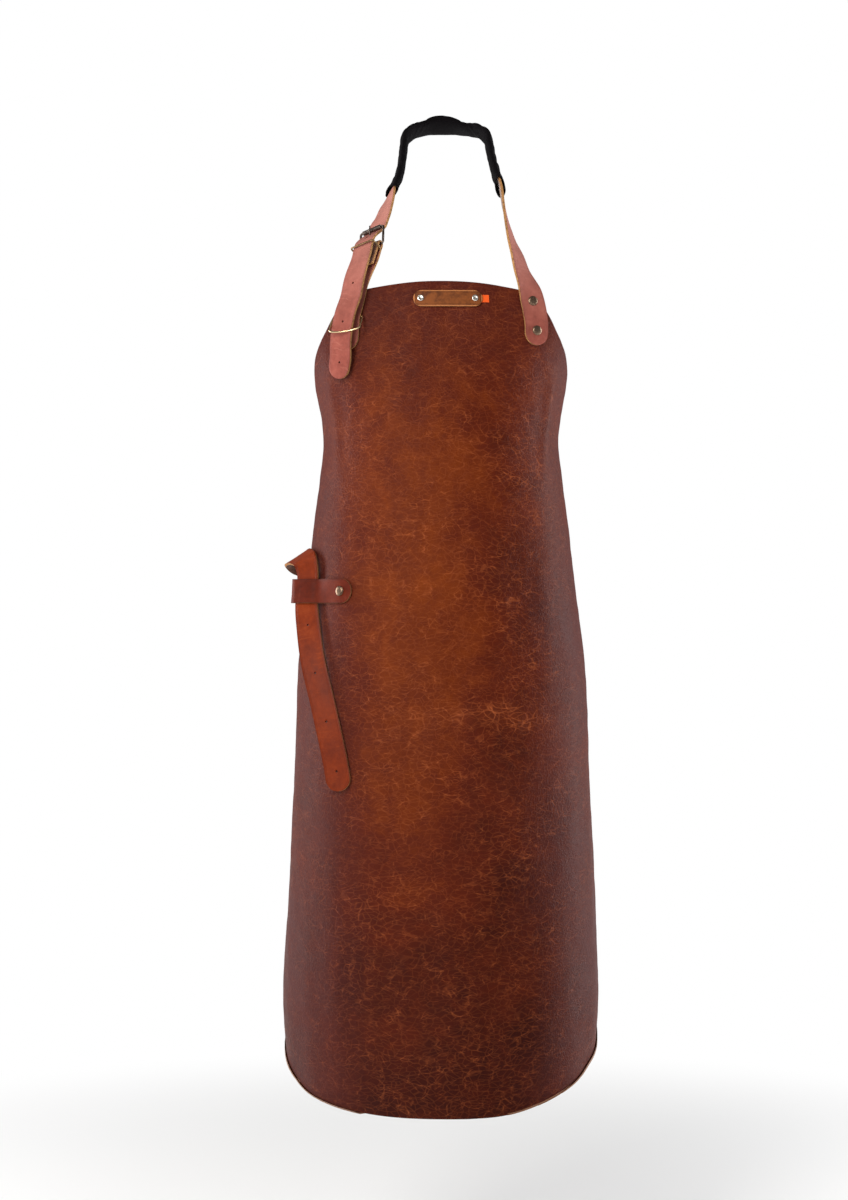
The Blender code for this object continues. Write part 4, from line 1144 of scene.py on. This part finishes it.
# ================================================================ buckles, keepers and ring
@dataclass
class RollerBuckle:
    """A roller buckle on its folded strap. Its place has X across, Y up the strap, Z out of it."""

    prefix: str
    place: Matrix
    strap_finishes: List[bpy.types.Material]
    metal: bpy.types.Material
    keeper_metal: bpy.types.Material
    gap: float = GAP
    wire: float = 0.0015
    inner_width: float = 0.0340
    length: float = 0.0240
    corner_radius: float = 0.0025
    tilt: float = radians(17)
    roller_radius: float = 0.00275
    roller_length: float = 0.0290
    tongue_wire: float = 0.0012
    overhang: float = 0.0030
    keeper_wire: float = 0.0011
    keeper_place: float = 0.0100
    fold_length: float = 0.036
    strap_thickness: float = FOLD_LEATHER
    main_thickness: float = STRAP_LEATHER

    def __post_init__(self) -> None:
        """Works out the fold's layers and where the frame leans."""
        self.layer = self.wire + self.gap + self.strap_thickness / 2
        self.arch = self.layer + self.strap_thickness / 2 + 0.0068 + self.main_thickness / 2
        self.frame_place = self.place @ Matrix.Rotation(self.tilt, 4, "X")

    def at(self, up: float, out: float) -> Vector:
        """Returns a place on the strap's middle line by its height above the heel bar."""
        return self.place @ Vector((0.0, up, out))

    def main_strap(self) -> List[Station]:
        """Lists the main strap's stations behind the roller, over the fold and down the keeper."""
        side = -self.place.col[0].xyz
        behind = self.roller_radius + 2 * self.gap + self.main_thickness / 2
        up, out = self.length * cos(self.tilt), self.length * sin(self.tilt)
        spots = [(up + 0.006, out - behind - 0.0016), (up, out - behind), (0.0145, 0.0062), (0.0065, 0.0100),
                 (-0.001, self.arch), (-0.010, self.arch + 0.0002), (-0.021, self.arch - 0.0008)]
        return [(self.at(*spot), side) for spot in spots]

    def fold(self) -> List[Station]:
        """Lists the buckle strap's last stretch, round the heel bar and down in front."""
        side = self.place.col[0].xyz
        bend = [(self.layer * cos(radians(a)), self.layer * sin(radians(a))) for a in range(-90, 91, 30)]
        spots = [(-0.024, -self.layer), (-0.010, -self.layer)] + bend
        spots += [(-0.010, self.layer), (-0.024, self.layer), (-self.fold_length, self.layer)]
        return [(self.at(*spot), side) for spot in spots]

    def tongue_slot(self, route: Route) -> Punch:
        """Returns the main strap's slot for the tongue."""
        crossing = self.at(0.0100, 0.0082)
        near = min(range(len(route.points)), key=lambda i: (route.points[i] - crossing).length)
        return route.frame(route.lengths[near]), 0.0023, 0.0082, 0.012

    def strap_holes(self, route: Route, last: float, pitch: float, radius: float, count: int) -> List[Punch]:
        """Lists the main strap's holes up from the last one's distance to its end, and the tongue's slot."""
        first = route.length - last
        holes = [(route.frame(first - k * pitch), radius, radius, 0.01) for k in range(count)]
        return holes + [self.tongue_slot(route)]

    def buckle_strap(self, stations: Sequence[Station]) -> Tuple[bpy.types.Object, Route]:
        """Builds the folded strap with its tongue slot."""
        route = Route(list(stations) + self.fold())
        slot = (self.place @ Matrix.Translation((0, -0.0015, 0)), 0.0023, 0.0080, 0.014)
        item = StrapPiece(self.prefix + "_buckle_strap_leather", route, STRAP_WIDTH, self.strap_thickness,
                          self.strap_finishes, round_start=True, holes=[slot], row_pitch=0.0018).build()
        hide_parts(self.prefix + "_buckle_strap")
        return item, route

    def frame(self) -> bpy.types.Object:
        """Builds the frame."""
        half = self.inner_width / 2 + self.wire
        loop = [(x, y, 0.0) for x, y in rounded_rectangle(half, 0.0, self.length, self.corner_radius)]
        item = bent_wire(self.prefix + "_frame_wire", loop, self.wire, self.frame_place, [self.metal])
        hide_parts(self.prefix + "_buckle_frame")
        return item

    def roller(self) -> bpy.types.Object:
        """Builds the rolled sleeve on the frame's front bar, with its turned-in ends."""
        half, bore = self.roller_length / 2, self.wire + self.gap
        edge = 0.0005
        outer = [(self.roller_radius - edge + edge * sin(radians(a)), half - edge + edge * cos(radians(a)))
                 for a in range(0, 91, 15)]
        low = [(radius, -height) for radius, height in reversed(outer)]
        profile = [(bore, half - 0.0003)] + outer + low + [(bore, -half + 0.0003), (bore, half - 0.0003)]
        place = self.frame_place @ Matrix.Translation((0, self.length, 0)) @ Matrix.Rotation(pi / 2, 4, "Y")
        item = turned(self.prefix + "_roller_tube", profile, place, [self.metal], 40)
        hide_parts(self.prefix + "_buckle_roller")
        return item

    def tongue(self) -> bpy.types.Object:
        """Builds the tongue, hooked round the heel bar and tapered to its tip."""
        ring = self.wire + 2 * self.gap + self.tongue_wire
        rest = self.roller_radius + 2 * self.gap + self.tongue_wire
        lean = (rest - ring) / self.length
        tip = self.length + self.overhang
        points = [(0.0, ring * sin(radians(a)), ring * cos(radians(a))) for a in range(-250, 1, 12)]
        points += [(0.0, tip * k / 14, ring + lean * tip * k / 14) for k in range(1, 15)]
        points.append((0.0, tip + 0.0006, ring + lean * tip - 0.0003))
        item = bent_wire(self.prefix + "_tongue_wire", points, self.tongue_wire, self.frame_place,
                         [self.metal], closed=False, taper=0.72)
        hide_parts(self.prefix + "_buckle_tongue")
        return item

    def keeper(self) -> bpy.types.Object:
        """Builds the wire keeper."""
        half = self.inner_width / 2 + self.keeper_wire - self.gap
        out = self.arch + self.main_thickness / 2 + 0.0016 + self.keeper_wire
        loop = [(x, 0.0, z) for x, z in rounded_rectangle(half, 0.0, out, 0.0028)]
        place = self.place @ Matrix.Translation((0, -self.keeper_place, 0))
        item = bent_wire(self.prefix + "_keeper_wire", loop, self.keeper_wire, place, [self.keeper_metal])
        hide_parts(self.prefix + "_keeper")
        return item

    def dress(self) -> None:
        """Builds the fittings and gives each its body."""
        for item, node, slot in ((self.frame(), "_buckle_frame", "buckle_metal"),
                                 (self.roller(), "_buckle_roller", "buckle_metal"),
                                 (self.tongue(), "_buckle_tongue", "buckle_metal"),
                                 (self.keeper(), "_keeper", "keeper_brass")):
            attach(item, self.prefix + node)
            log.info("%s rides on %s", item.name, self.prefix + node)


# ================================================================ neck
def facing(turn: float, side: int) -> Vector:
    """Returns the direction across a strap whose face has turned from the front towards a side."""
    return Vector((cos(radians(turn)) * side, sin(radians(turn)), 0.0))


def on_bib(share: float, height: float, lift: float) -> Station:
    """Returns a station on the bib with the direction across a strap that lies flat there."""
    spot, out = BODY.on_front(share, height, lift)
    return spot, Vector((-out.y, out.x, 0.0))


def on_side(distance: float, height: float, lift: float, way: int = 1) -> Station:
    """Returns a station on the hide by its length round it, facing up it, or down where way is -1."""
    return BODY.on_girth(distance, height, lift)[0], BODY.up_girth(distance, height) * way


def in_air(side: int, *rows: Tuple[float, float, float, float]) -> List[Station]:
    """Lists stations off the hide, from rows of a place and the degrees that the strap's face has turned."""
    return [(BODY.placed(Vector((x, y, z))), facing(turn, side)) for x, y, z, turn in rows]


@dataclass
class NeckStrap:
    """The neck strap, its buckle and ring, and the padded sleeve at the nape."""

    finishes: Finishes
    width: float = STRAP_WIDTH
    thickness: float = STRAP_LEATHER
    hide: float = HIDE_THICKNESS
    drape: float = DRAPE
    hole: float = 0.0014
    hole_pitch: float = 0.050
    last_hole: float = 0.0205
    cap: float = 0.0022
    cloth: float = 0.0010
    sleeve_girth: float = 0.088
    sleeve_rise: float = 0.0030

    def buckle_place(self) -> Matrix:
        """Returns the buckle's place at the heel bar."""
        across = Vector((0.775, -0.600, 0.215)).normalized()
        up = Vector((0.200, 0.550, 0.810))
        up = (up - across * up.dot(across)).normalized()
        return axes_place(across, up, BODY.placed(Vector((-0.0866, -0.0600, -0.1697))))

    def route(self, buckle: RollerBuckle) -> Route:
        """Returns the neck strap's whole line, from the right rivets over the nape to its free end."""
        on_hide = self.hide + self.drape + self.thickness / 2
        stations = [on_bib(share, height, on_hide) for share, height in (
            (0.626, -0.2950), (0.606, -0.2771), (0.562, -0.2404))]
        stations.append((BODY.on_front(0.528, -0.2218, on_hide + 0.0020)[0], facing(33, 1)))
        stations += in_air(
            1, (0.0989, -0.076, -0.2001, 52), (0.0937, -0.066, -0.1790, 61), (0.0873, -0.054, -0.1573, 74),
            (0.0828, -0.040, -0.1355, 81), (0.0786, -0.027, -0.1116, 89), (0.0749, -0.012, -0.0859, 90),
            (0.0700, 0.000, -0.0680, 90), (0.0662, 0.010, -0.0520, 90), (0.0631, 0.024, -0.0330, 90),
            (0.0590, 0.042, -0.0130, 90))
        stations += [(BODY.placed(Vector((x, y, z))), Vector((0.0, cos(radians(lean)), -sin(radians(lean)))))
                     for x, y, z, lean in (
            (0.0490, 0.056, -0.0022, 3), (0.0360, 0.064, 0.0028, 4), (0.0260, 0.067, 0.0050, 8),
            (0.0180, 0.067, 0.0068, 13), (-0.0100, 0.067, 0.0078, 17), (-0.0180, 0.067, 0.0062, 12),
            (-0.0290, 0.062, 0.0016, 5), (-0.0390, 0.052, -0.0062, 3))]
        stations += in_air(
            -1, (-0.0455, 0.038, -0.0165, 90), (-0.0480, 0.022, -0.0336, 90), (-0.0503, 0.006, -0.0560, 90),
            (-0.0550, -0.006, -0.0750, 88), (-0.0630, -0.018, -0.0939, 80), (-0.0681, -0.030, -0.1114, 64),
            (-0.0741, -0.040, -0.1310, 54))
        stations += buckle.main_strap()
        clear = self.hide + FOLD_LEATHER + self.cap + 5 * GAP + self.thickness / 2
        stations += [(BODY.on_front(share, height, clear + extra)[0], facing(turn, -1))
                     for share, height, turn, extra in (
            (-0.520, -0.2150, 35, 0.0040), (-0.545, -0.2355, 33, 0.0040), (-0.580, -0.2557, 33, 0.0055),
            (-0.612, -0.2757, 33, 0.0055), (-0.655, -0.2955, 33, 0.0035), (-0.700, -0.3120, 33, 0.0015),
            (-0.770, -0.3350, 36, 0.0))]
        return Route(stations)

    def build(self) -> None:
        """Builds the strap, sleeve, buckle strap, fittings and ring."""
        looks = self.finishes
        buckle = RollerBuckle("neck", self.buckle_place(), looks.neck, looks.nickel, looks.brass)
        route = self.route(buckle)
        holes = buckle.strap_holes(route, self.last_hole, self.hole_pitch, self.hole, 3)
        strap = StrapPiece("neck_strap_leather", route, self.width, self.thickness, looks.neck,
                           round_start=True, round_end=True, holes=holes, row_pitch=0.0025).build()
        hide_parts("neck_strap")
        lift = self.hide + self.drape + FOLD_LEATHER / 2
        stations = [on_bib(share, height, lift + extra) for share, height, extra in (
            (-0.640, -0.3010, 0.0), (-0.615, -0.2860, 0.0), (-0.595, -0.2740, 0.0012),
            (-0.577, -0.2610, 0.0031), (-0.560, -0.2480, 0.0012), (-0.545, -0.2360, 0.0),
            (-0.522, -0.2200, 0.0010))]
        folded, folded_route = buckle.buckle_strap(stations)
        for item in (strap, folded):
            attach(item, "apron")
            log.info("%s rides on apron", item.name)
        buckle.dress()
        ring = self.ring(folded_route.frame(folded_route.stations[3]))
        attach(ring, "neck_d_ring")
        self.sleeve(route)

    def ring(self, strap_place: Matrix) -> bpy.types.Object:
        """Builds the half-round ring, whose bar lies behind the buckle strap."""
        wire, half = 0.0011, 0.0375 / 2 + 0.0011
        bow = [(half * cos(radians(a)), 0.0212 + 0.0065 * sin(radians(a))) for a in range(0, 181, 8)]
        foot = corner(0.003 - half, 0.003, 0.003, pi) + corner(half - 0.003, 0.003, 0.003, 3 * pi / 2)
        loop = [(x, 0.0, z) for x, z in bow + foot]
        behind = FOLD_LEATHER / 2 + 2 * GAP + wire
        place = strap_place @ Matrix.Translation((-0.0022, 0, -behind))
        place = place @ Matrix.Rotation(radians(12), 4, "Z") @ Matrix.Rotation(radians(52), 4, "X")
        item = bent_wire("d_ring_wire", loop, wire, place, [self.finishes.pale_brass])
        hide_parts("neck_d_ring")
        log.info("%s rides on neck_d_ring", item.name)
        return item

    def sleeve(self, route: Route) -> bpy.types.Object:
        """Builds the creased cloth tube round the strap at the nape."""
        around, half, deep = 44, 0.0189, 0.0036
        start, end = route.stations[9], route.stations[26]
        count = round((end - start) / 0.0017)
        nape = (route.stations[17] + route.stations[18]) / 2
        bm = bmesh.new()
        cut = bm.loops.layers.uv.new("cut")
        bmesh.ops.create_grid(bm, x_segments=around, y_segments=count, size=0.5)
        flat: Dict[bmesh.types.BMVert, Tuple[float, float]] = {}
        for vert in bm.verts:
            step = round((vert.co.x + 0.5) * around)
            turn = 2 * pi * step / around
            sine, cosine = sin(turn), cos(turn)
            along = vert.co.y + 0.5
            slant = 0.006 * cosine * ease(0.90, 1.0, along)
            distance = start + (end - start) * along - slant
            off_nape = abs(distance - nape)
            x = half * abs(cosine) ** 0.75 * (1 if cosine >= 0 else -1)
            z = deep * abs(sine) ** 0.8 * (1 if sine >= 0 else -1)
            mouth = ease(0.035, 0.0, along) + ease(0.955, 1.0, along)
            pucker = noise.noise(Vector((cosine * 1.2, sine * 1.2, distance * 95))) * 0.00085
            pleat = noise.noise(Vector((cosine * 0.5, sine * 0.8, distance * 210 + 9))) * 0.0006
            out = (pucker + pleat) * (0.25 + 0.75 * ease(0.020, 0.045, off_nape)) + GAP
            place = route.frame(distance)
            vert.co = place @ Vector((x + cosine * out, 0.0, z * (1 + mouth * 0.30) + sine * out * 1.4))
            upward = max(0.0, (place.to_3x3() @ Vector((cosine, 0.0, sine * 0.3))).z)
            gather = 1 + 0.35 * noise.noise(Vector((distance * 150, 0.0, 3.3)))
            vert.co.z += self.sleeve_rise * ease(0.034, 0.006, off_nape) * upward * gather
            flat[vert] = (self.sleeve_girth * step / around, distance)
        write_cut(bm, cut, flat)
        bmesh.ops.remove_doubles(bm, verts=bm.verts, dist=TINY)
        bmesh.ops.recalc_face_normals(bm, faces=bm.faces)

        def finish(item: bpy.types.Object) -> None:
            """Gives the cloth its body."""
            give_body(item, self.cloth, 1.0, lined=False)

        item = settled(bm, "sleeve_cloth", self.finishes.sleeve, finish, 60.0)
        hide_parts("neck_sleeve")
        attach(item, "apron")
        end - start
        log.info("%s rides on apron", item.name)
        return item


# ================================================================ label and tag
@dataclass
class LabelAndTag:
    """The leather label on the bib, and the ribbon tucked in behind its end."""

    finishes: Finishes
    length: float = 0.084
    width: float = 0.0205
    thickness: float = 0.0020
    centre: float = 0.0075
    drop: float = 0.0225
    tag_show: float = 0.0085
    tag_tuck: float = 0.015
    tag_height: float = 0.0095
    tag_thickness: float = 0.0008

    def line(self, near: float, far: float, lift: float) -> Route:
        """Returns a level line on the bib between two distances from its middle."""
        height = BODY.bib_top - self.drop
        spots = [near + (far - near) * k / 6 for k in range(7)]
        return Route([on_side(spot, height, lift) for spot in spots])

    def build(self) -> None:
        """Builds the label and the tag."""
        tag_lift = HIDE_THICKNESS + GAP + self.tag_thickness / 2
        label_lift = tag_lift + self.tag_thickness / 2 + GAP + self.thickness / 2
        left, right = self.centre - self.length / 2, self.centre + self.length / 2
        label = StrapPiece("label_leather", self.line(right, left, label_lift), self.width, self.thickness,
                           self.finishes.label, round_start=True, round_end=True, row_pitch=0.0015,
                           columns=14, edge=0.0006, ripple=0.0001).build()
        tag_line = self.line(right + self.tag_show, right - self.tag_tuck, tag_lift)
        tag = StrapPiece("tag_ribbon", tag_line, self.tag_height, self.tag_thickness, self.finishes.tag,
                         row_pitch=0.0012, columns=8, edge=0.0002, ripple=0.00008).build()
        for item, node, slot in ((label, "label", "label"), (tag, "label_tag", "tag")):
            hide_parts(node)
            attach(item, "apron")
            log.info("%s rides on apron", item.name)


# ================================================================ waist
@dataclass
class WaistStrap:
    """The waist strap, its buckle behind, its hanging end and the side loop that holds it."""

    finishes: Finishes
    width: float = 0.031
    thickness: float = STRAP_LEATHER
    hide: float = HIDE_THICKNESS
    drape: float = DRAPE
    hole: float = 0.0015
    hole_pitch: float = 0.062
    last_hole: float = 0.0245
    cap: float = 0.0014
    rear: float = 0.350
    belt: float = -0.5636
    loop_height: float = -0.5970
    bow: float = 0.030
    tail_start: float = 0.0045

    def back(self, right: Vector, left: Vector, share: float) -> Vector:
        """Returns a place on the bowed line round the wearer's back."""
        return right.lerp(left, share) + Vector((0, self.bow * 4 * share * (1 - share), 0))

    def buckle_place(self, right: Vector, left: Vector) -> Matrix:
        """Returns the buckle's place at its heel bar."""
        here, before = self.back(right, left, 0.70), self.back(right, left, 0.68)
        return axes_place(Vector((0.0, 0.0, 1.0)), (before - here).normalized(), here)

    def hanging(self, share: float, height: float, turn: float, stand_off: float) -> Station:
        """Hangs the strap's inner edge just clear of the hide."""
        lift = self.hide + 0.0006 + self.thickness / 2 + stand_off
        edge, _ = BODY.on_front(-share, height, lift)
        side = facing(turn, -1)
        return edge + side * (self.width / 2), side

    def route(self, buckle: RollerBuckle, right: Vector, left: Vector) -> Route:
        """Returns the strap's whole line, from its rivets round the back to its hanging end."""
        on_hide = self.hide + self.drape + self.thickness / 2
        down = Vector((0, 0, -1))
        stations = [on_side(self.rear - back, self.belt, on_hide, -1) for back in (0.062, 0.046, 0.024)]
        stations += [(right, down)]
        stations += [(self.back(right, left, share), down) for share in (0.14, 0.30, 0.45)]
        stations += buckle.main_strap()
        clear = self.hide + FOLD_LEATHER + self.cap + 5 * GAP + self.thickness / 2
        stations += [on_side(forward - self.rear, self.belt, clear + extra, -1)
                     for forward, extra in ((0.000, 0.0045), (0.020, 0.0024), (0.042, 0.002), (0.062, 0.002))]
        stations += [(BODY.on_girth(distance, height, lift)[0], Vector(side))
                     for distance, height, lift, side in (
            (-0.264, -0.5632, 0.0100, (-0.20, 0.0, -1.0)), (-0.246, -0.5615, 0.0150, (-0.55, 0.0, -0.84)),
            (-0.230, -0.5580, 0.0185, (-0.80, 0.05, -0.60)))]
        crest, _ = self.hanging(0.900, -0.5590, 34, 0.004)
        stations += [(crest + Vector((-0.0045, 0.014, 0.0045)), Vector((-0.84, 0.10, -0.55))),
                     (crest, Vector((-0.87, 0.28, -0.40)))]
        stations += [self.hanging(share, height, turn, 0.0006) for share, height, turn in (
            (0.885, -0.5760, 32), (0.877, -0.5970, 30), (0.866, -0.6142, 27), (0.829, -0.6430, 22),
            (0.789, -0.6734, 18), (0.691, -0.7381, 16), (0.597, -0.8143, 16), (0.572, -0.8400, 16))]
        return Route(stations)

    def build(self) -> None:
        """Builds the strap, its buckle, its folded strap and the side loop."""
        looks = self.finishes
        on_hide = self.hide + self.drape + self.thickness / 2 + 0.0012
        right = BODY.on_girth(self.rear - 0.005, self.belt, on_hide)[0]
        left = BODY.on_girth(0.005 - self.rear, self.belt, on_hide)[0]
        buckle = RollerBuckle("waist", self.buckle_place(right, left), looks.waist, looks.nickel, looks.brass)
        route = self.route(buckle, right, left)
        holes = buckle.strap_holes(route, self.last_hole, self.hole_pitch, self.hole, 4)
        strap = StrapPiece("waist_strap_leather", route, self.width, self.thickness, looks.waist,
                           round_start=True, round_end=True, holes=holes).build()
        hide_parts("waist_strap", "waist_strap_tail")
        split = route.stations[-6] + self.tail_start
        route.frame(split - 0.004).translation
        route.frame(split + 0.010).translation
        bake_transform(strap)
        log.info("%s bends from apron to waist_strap_tail", strap.name)
        lift = self.hide + self.drape + FOLD_LEATHER / 2
        stations = [on_side(forward - self.rear, self.belt, lift) for forward in (0.062, 0.048, 0.020, 0.002)]
        folded, _ = buckle.buckle_strap(stations)
        loop = self.side_loop(route.frame(route.stations[-7]))
        for item in (folded, loop):
            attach(item, "apron")
            log.info("%s rides on apron", item.name)
        buckle.dress()

    def side_loop(self, crossing: Matrix) -> bpy.types.Object:
        """Builds the loop on the flank that the hanging end passes behind."""
        thickness = FOLD_LEATHER
        on_hide = self.hide + self.drape + thickness / 2
        edge = self.width / 2
        over = self.thickness / 2 + 3 * GAP + thickness / 2
        level = BODY.placed(Vector((0, 0, self.loop_height))).z

        def lying(distance: float, extra: float = 0.0) -> Station:
            """Returns a station on the hide."""
            return on_side(distance, self.loop_height, on_hide + extra)

        def over_strap(across: float, out: float) -> Station:
            """Returns a station over the hanging strap."""
            spot = crossing @ Vector((across, 0.0, out))
            spot.z = level
            return spot, -crossing.col[1].xyz

        stations = [lying(-0.112), lying(-0.128), lying(-0.146)]
        stations += [over_strap(across, out) for across, out in (
            (-edge - 0.002, over * 0.85 + 0.0008), (-edge * 0.5, over + 0.0014), (0.0, over + 0.0014),
            (edge * 0.6, over + 0.0010), (edge + 0.0020, over), (edge + 0.0080, -0.0060),
            (edge + 0.0070, -0.0180))]
        stations += [lying(-0.246, 0.0022), lying(-0.258), lying(-0.274), lying(-0.290)]
        item = StrapPiece("side_loop_leather", Route(stations), STRAP_WIDTH, thickness,
                          self.finishes.loop, round_start=True, round_end=True, row_pitch=0.0022).build()
        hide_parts("side_loop")
        return item


# ================================================================ studio
@dataclass
class Studio:
    """A pale floor, soft light from all sides and the camera."""

    floor_height: float = -1.50
    reach: float = 14.0
    eye: Tuple[float, float, float] = (-0.0216, -2.81589, -0.61135)
    lens: float = 65
    air_strength: float = 0.21

    def softbox(self, name: str, place: Vector, aim: Vector, size: Tuple[float, float], power: float,
                colour: Colour = WHITE) -> None:
        """Hangs one soft light."""
        data = bpy.data.lights.new(name, "AREA")
        data.shape = "RECTANGLE"
        data.size, data.size_y = size
        data.energy = power
        data.color = colour
        light = bpy.data.objects.new(name, data)
        light.location = place
        light.rotation_euler = (aim - place).to_track_quat("-Z", "Y").to_euler()
        bpy.context.scene.collection.objects.link(light)

    def floor(self) -> bpy.types.Object:
        """Builds the floor, which pales to white far from the apron."""
        bm = bmesh.new()
        bmesh.ops.create_circle(bm, cap_ends=True, segments=64, radius=self.reach)
        bmesh.ops.translate(bm, vec=(0, 0, self.floor_height), verts=bm.verts)
        make = Dresser("pale_floor")
        x, y, _ = make.parts(make.own_place())
        far = (x * x + y * y).eased(0.05, 2.2)
        glow = make.blend(far, BLACK, WHITE)
        shade = make.blend(far, (0.90, 0.90, 0.90), BLACK)
        return settled(bm, "floor", [make.dress(Base_Color=shade, Roughness=0.8, Specular_IOR_Level=0.0,
                                                Emission_Color=glow, Emission_Strength=1.0)])

    def backdrop(self) -> bpy.types.Object:
        """Builds the white shell behind everything, which lights nothing."""
        bm = bmesh.new()
        bmesh.ops.create_uvsphere(bm, u_segments=48, v_segments=24, radius=self.reach)
        make = Dresser("white_backdrop")
        shell = settled(bm, "backdrop", [make.dress(Base_Color=BLACK, Specular_IOR_Level=0.0,
                                                    Emission_Color=WHITE, Emission_Strength=1.0)])
        shell.visible_diffuse = shell.visible_glossy = False
        shell.visible_transmission = shell.visible_shadow = False
        return shell

    def build(self) -> None:
        """Builds the floor, backdrop, world, lights and camera."""
        self.floor()
        self.backdrop()
        world = bpy.data.worlds.new("studio_air")
        world.use_nodes = True
        air = world.node_tree.nodes["Background"].inputs
        air["Color"].default_value = (*WHITE, 1.0)
        air["Strength"].default_value = self.air_strength
        scene = bpy.context.scene
        scene.world = world
        scene.view_settings.view_transform = "Standard"
        middle = Vector((0.0, -0.05, -0.65))
        self.softbox("key", Vector((-1.0, -2.0, 0.35)), Vector((-0.03, -0.15, -0.45)), (0.9, 1.3), 37.0,
                     (1.0, 0.97, 0.92))
        self.softbox("right_strip", Vector((2.0, 0.35, -0.4)), middle, (0.7, 2.4), 52.0)
        self.softbox("left_strip", Vector((-2.0, 0.35, -0.4)), middle, (0.7, 2.4), 44.0)
        camera = bpy.data.objects.new("camera", bpy.data.cameras.new("camera"))
        camera.data.lens = self.lens
        camera.data.sensor_width = 36
        camera.data.clip_start = 0.05
        camera.location = self.eye
        camera.rotation_euler = (pi / 2, 0.0, 0.0)
        scene.collection.objects.link(camera)
        scene.camera = camera


def build_rivets(looks: Finishes) -> List[Rivet]:
    """Builds every rivet and rides it on the apron.

    Args:
        looks: The finishes.

    Returns:
        The rivets.
    """
    rivets = [Rivet(f"{place}_rivet_{k}", RivetHead.DOME, looks.cap)
              for place in ("neck_right", "waist_right", "side_loop") for k in (1, 2)]
    rivets += [Rivet(f"{place}_rivet_{k}", RivetHead.EYELET, looks.cap)
               for place in ("neck_left", "waist_left") for k in (1, 2)]
    rivets += [Rivet(f"{place}_fold_rivet", RivetHead.EYELET, looks.cap) for place in ("neck", "waist")]
    rivets += [Rivet(f"label_rivet_{k}", RivetHead.EYELET, looks.bright) for k in (1, 2)]
    for rivet in rivets:
        item = rivet.build()
        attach(item, "apron")
        log.info("%s rides on apron", item.name)
    return rivets


def main() -> None:
    """Builds the apron piece by piece, then the studio."""
    logging.basicConfig(level=logging.INFO, format="%(name)s: %(message)s")
    looks = Finishes()
    rivets = build_rivets(looks)
    NeckStrap(looks).build()
    LabelAndTag(looks).build()
    WaistStrap(looks).build()
    held, holes = [], []
    for rivet in rivets:
        if "fold" in rivet.name:
            continue
        cap, post, out = rivet.axis()
        held.append(post)
        holes.append((outward_place(out, post - out * 0.002), RIVET_HOLE, RIVET_HOLE,
                      (cap - post).length * 2 + 0.006))
    hide = HidePanel(looks.hide).build(held, holes)
    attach(hide, "apron")
    log.info("%s rides on apron", hide.name)
    Studio().build()


if __name__ == "__main__":
    main()
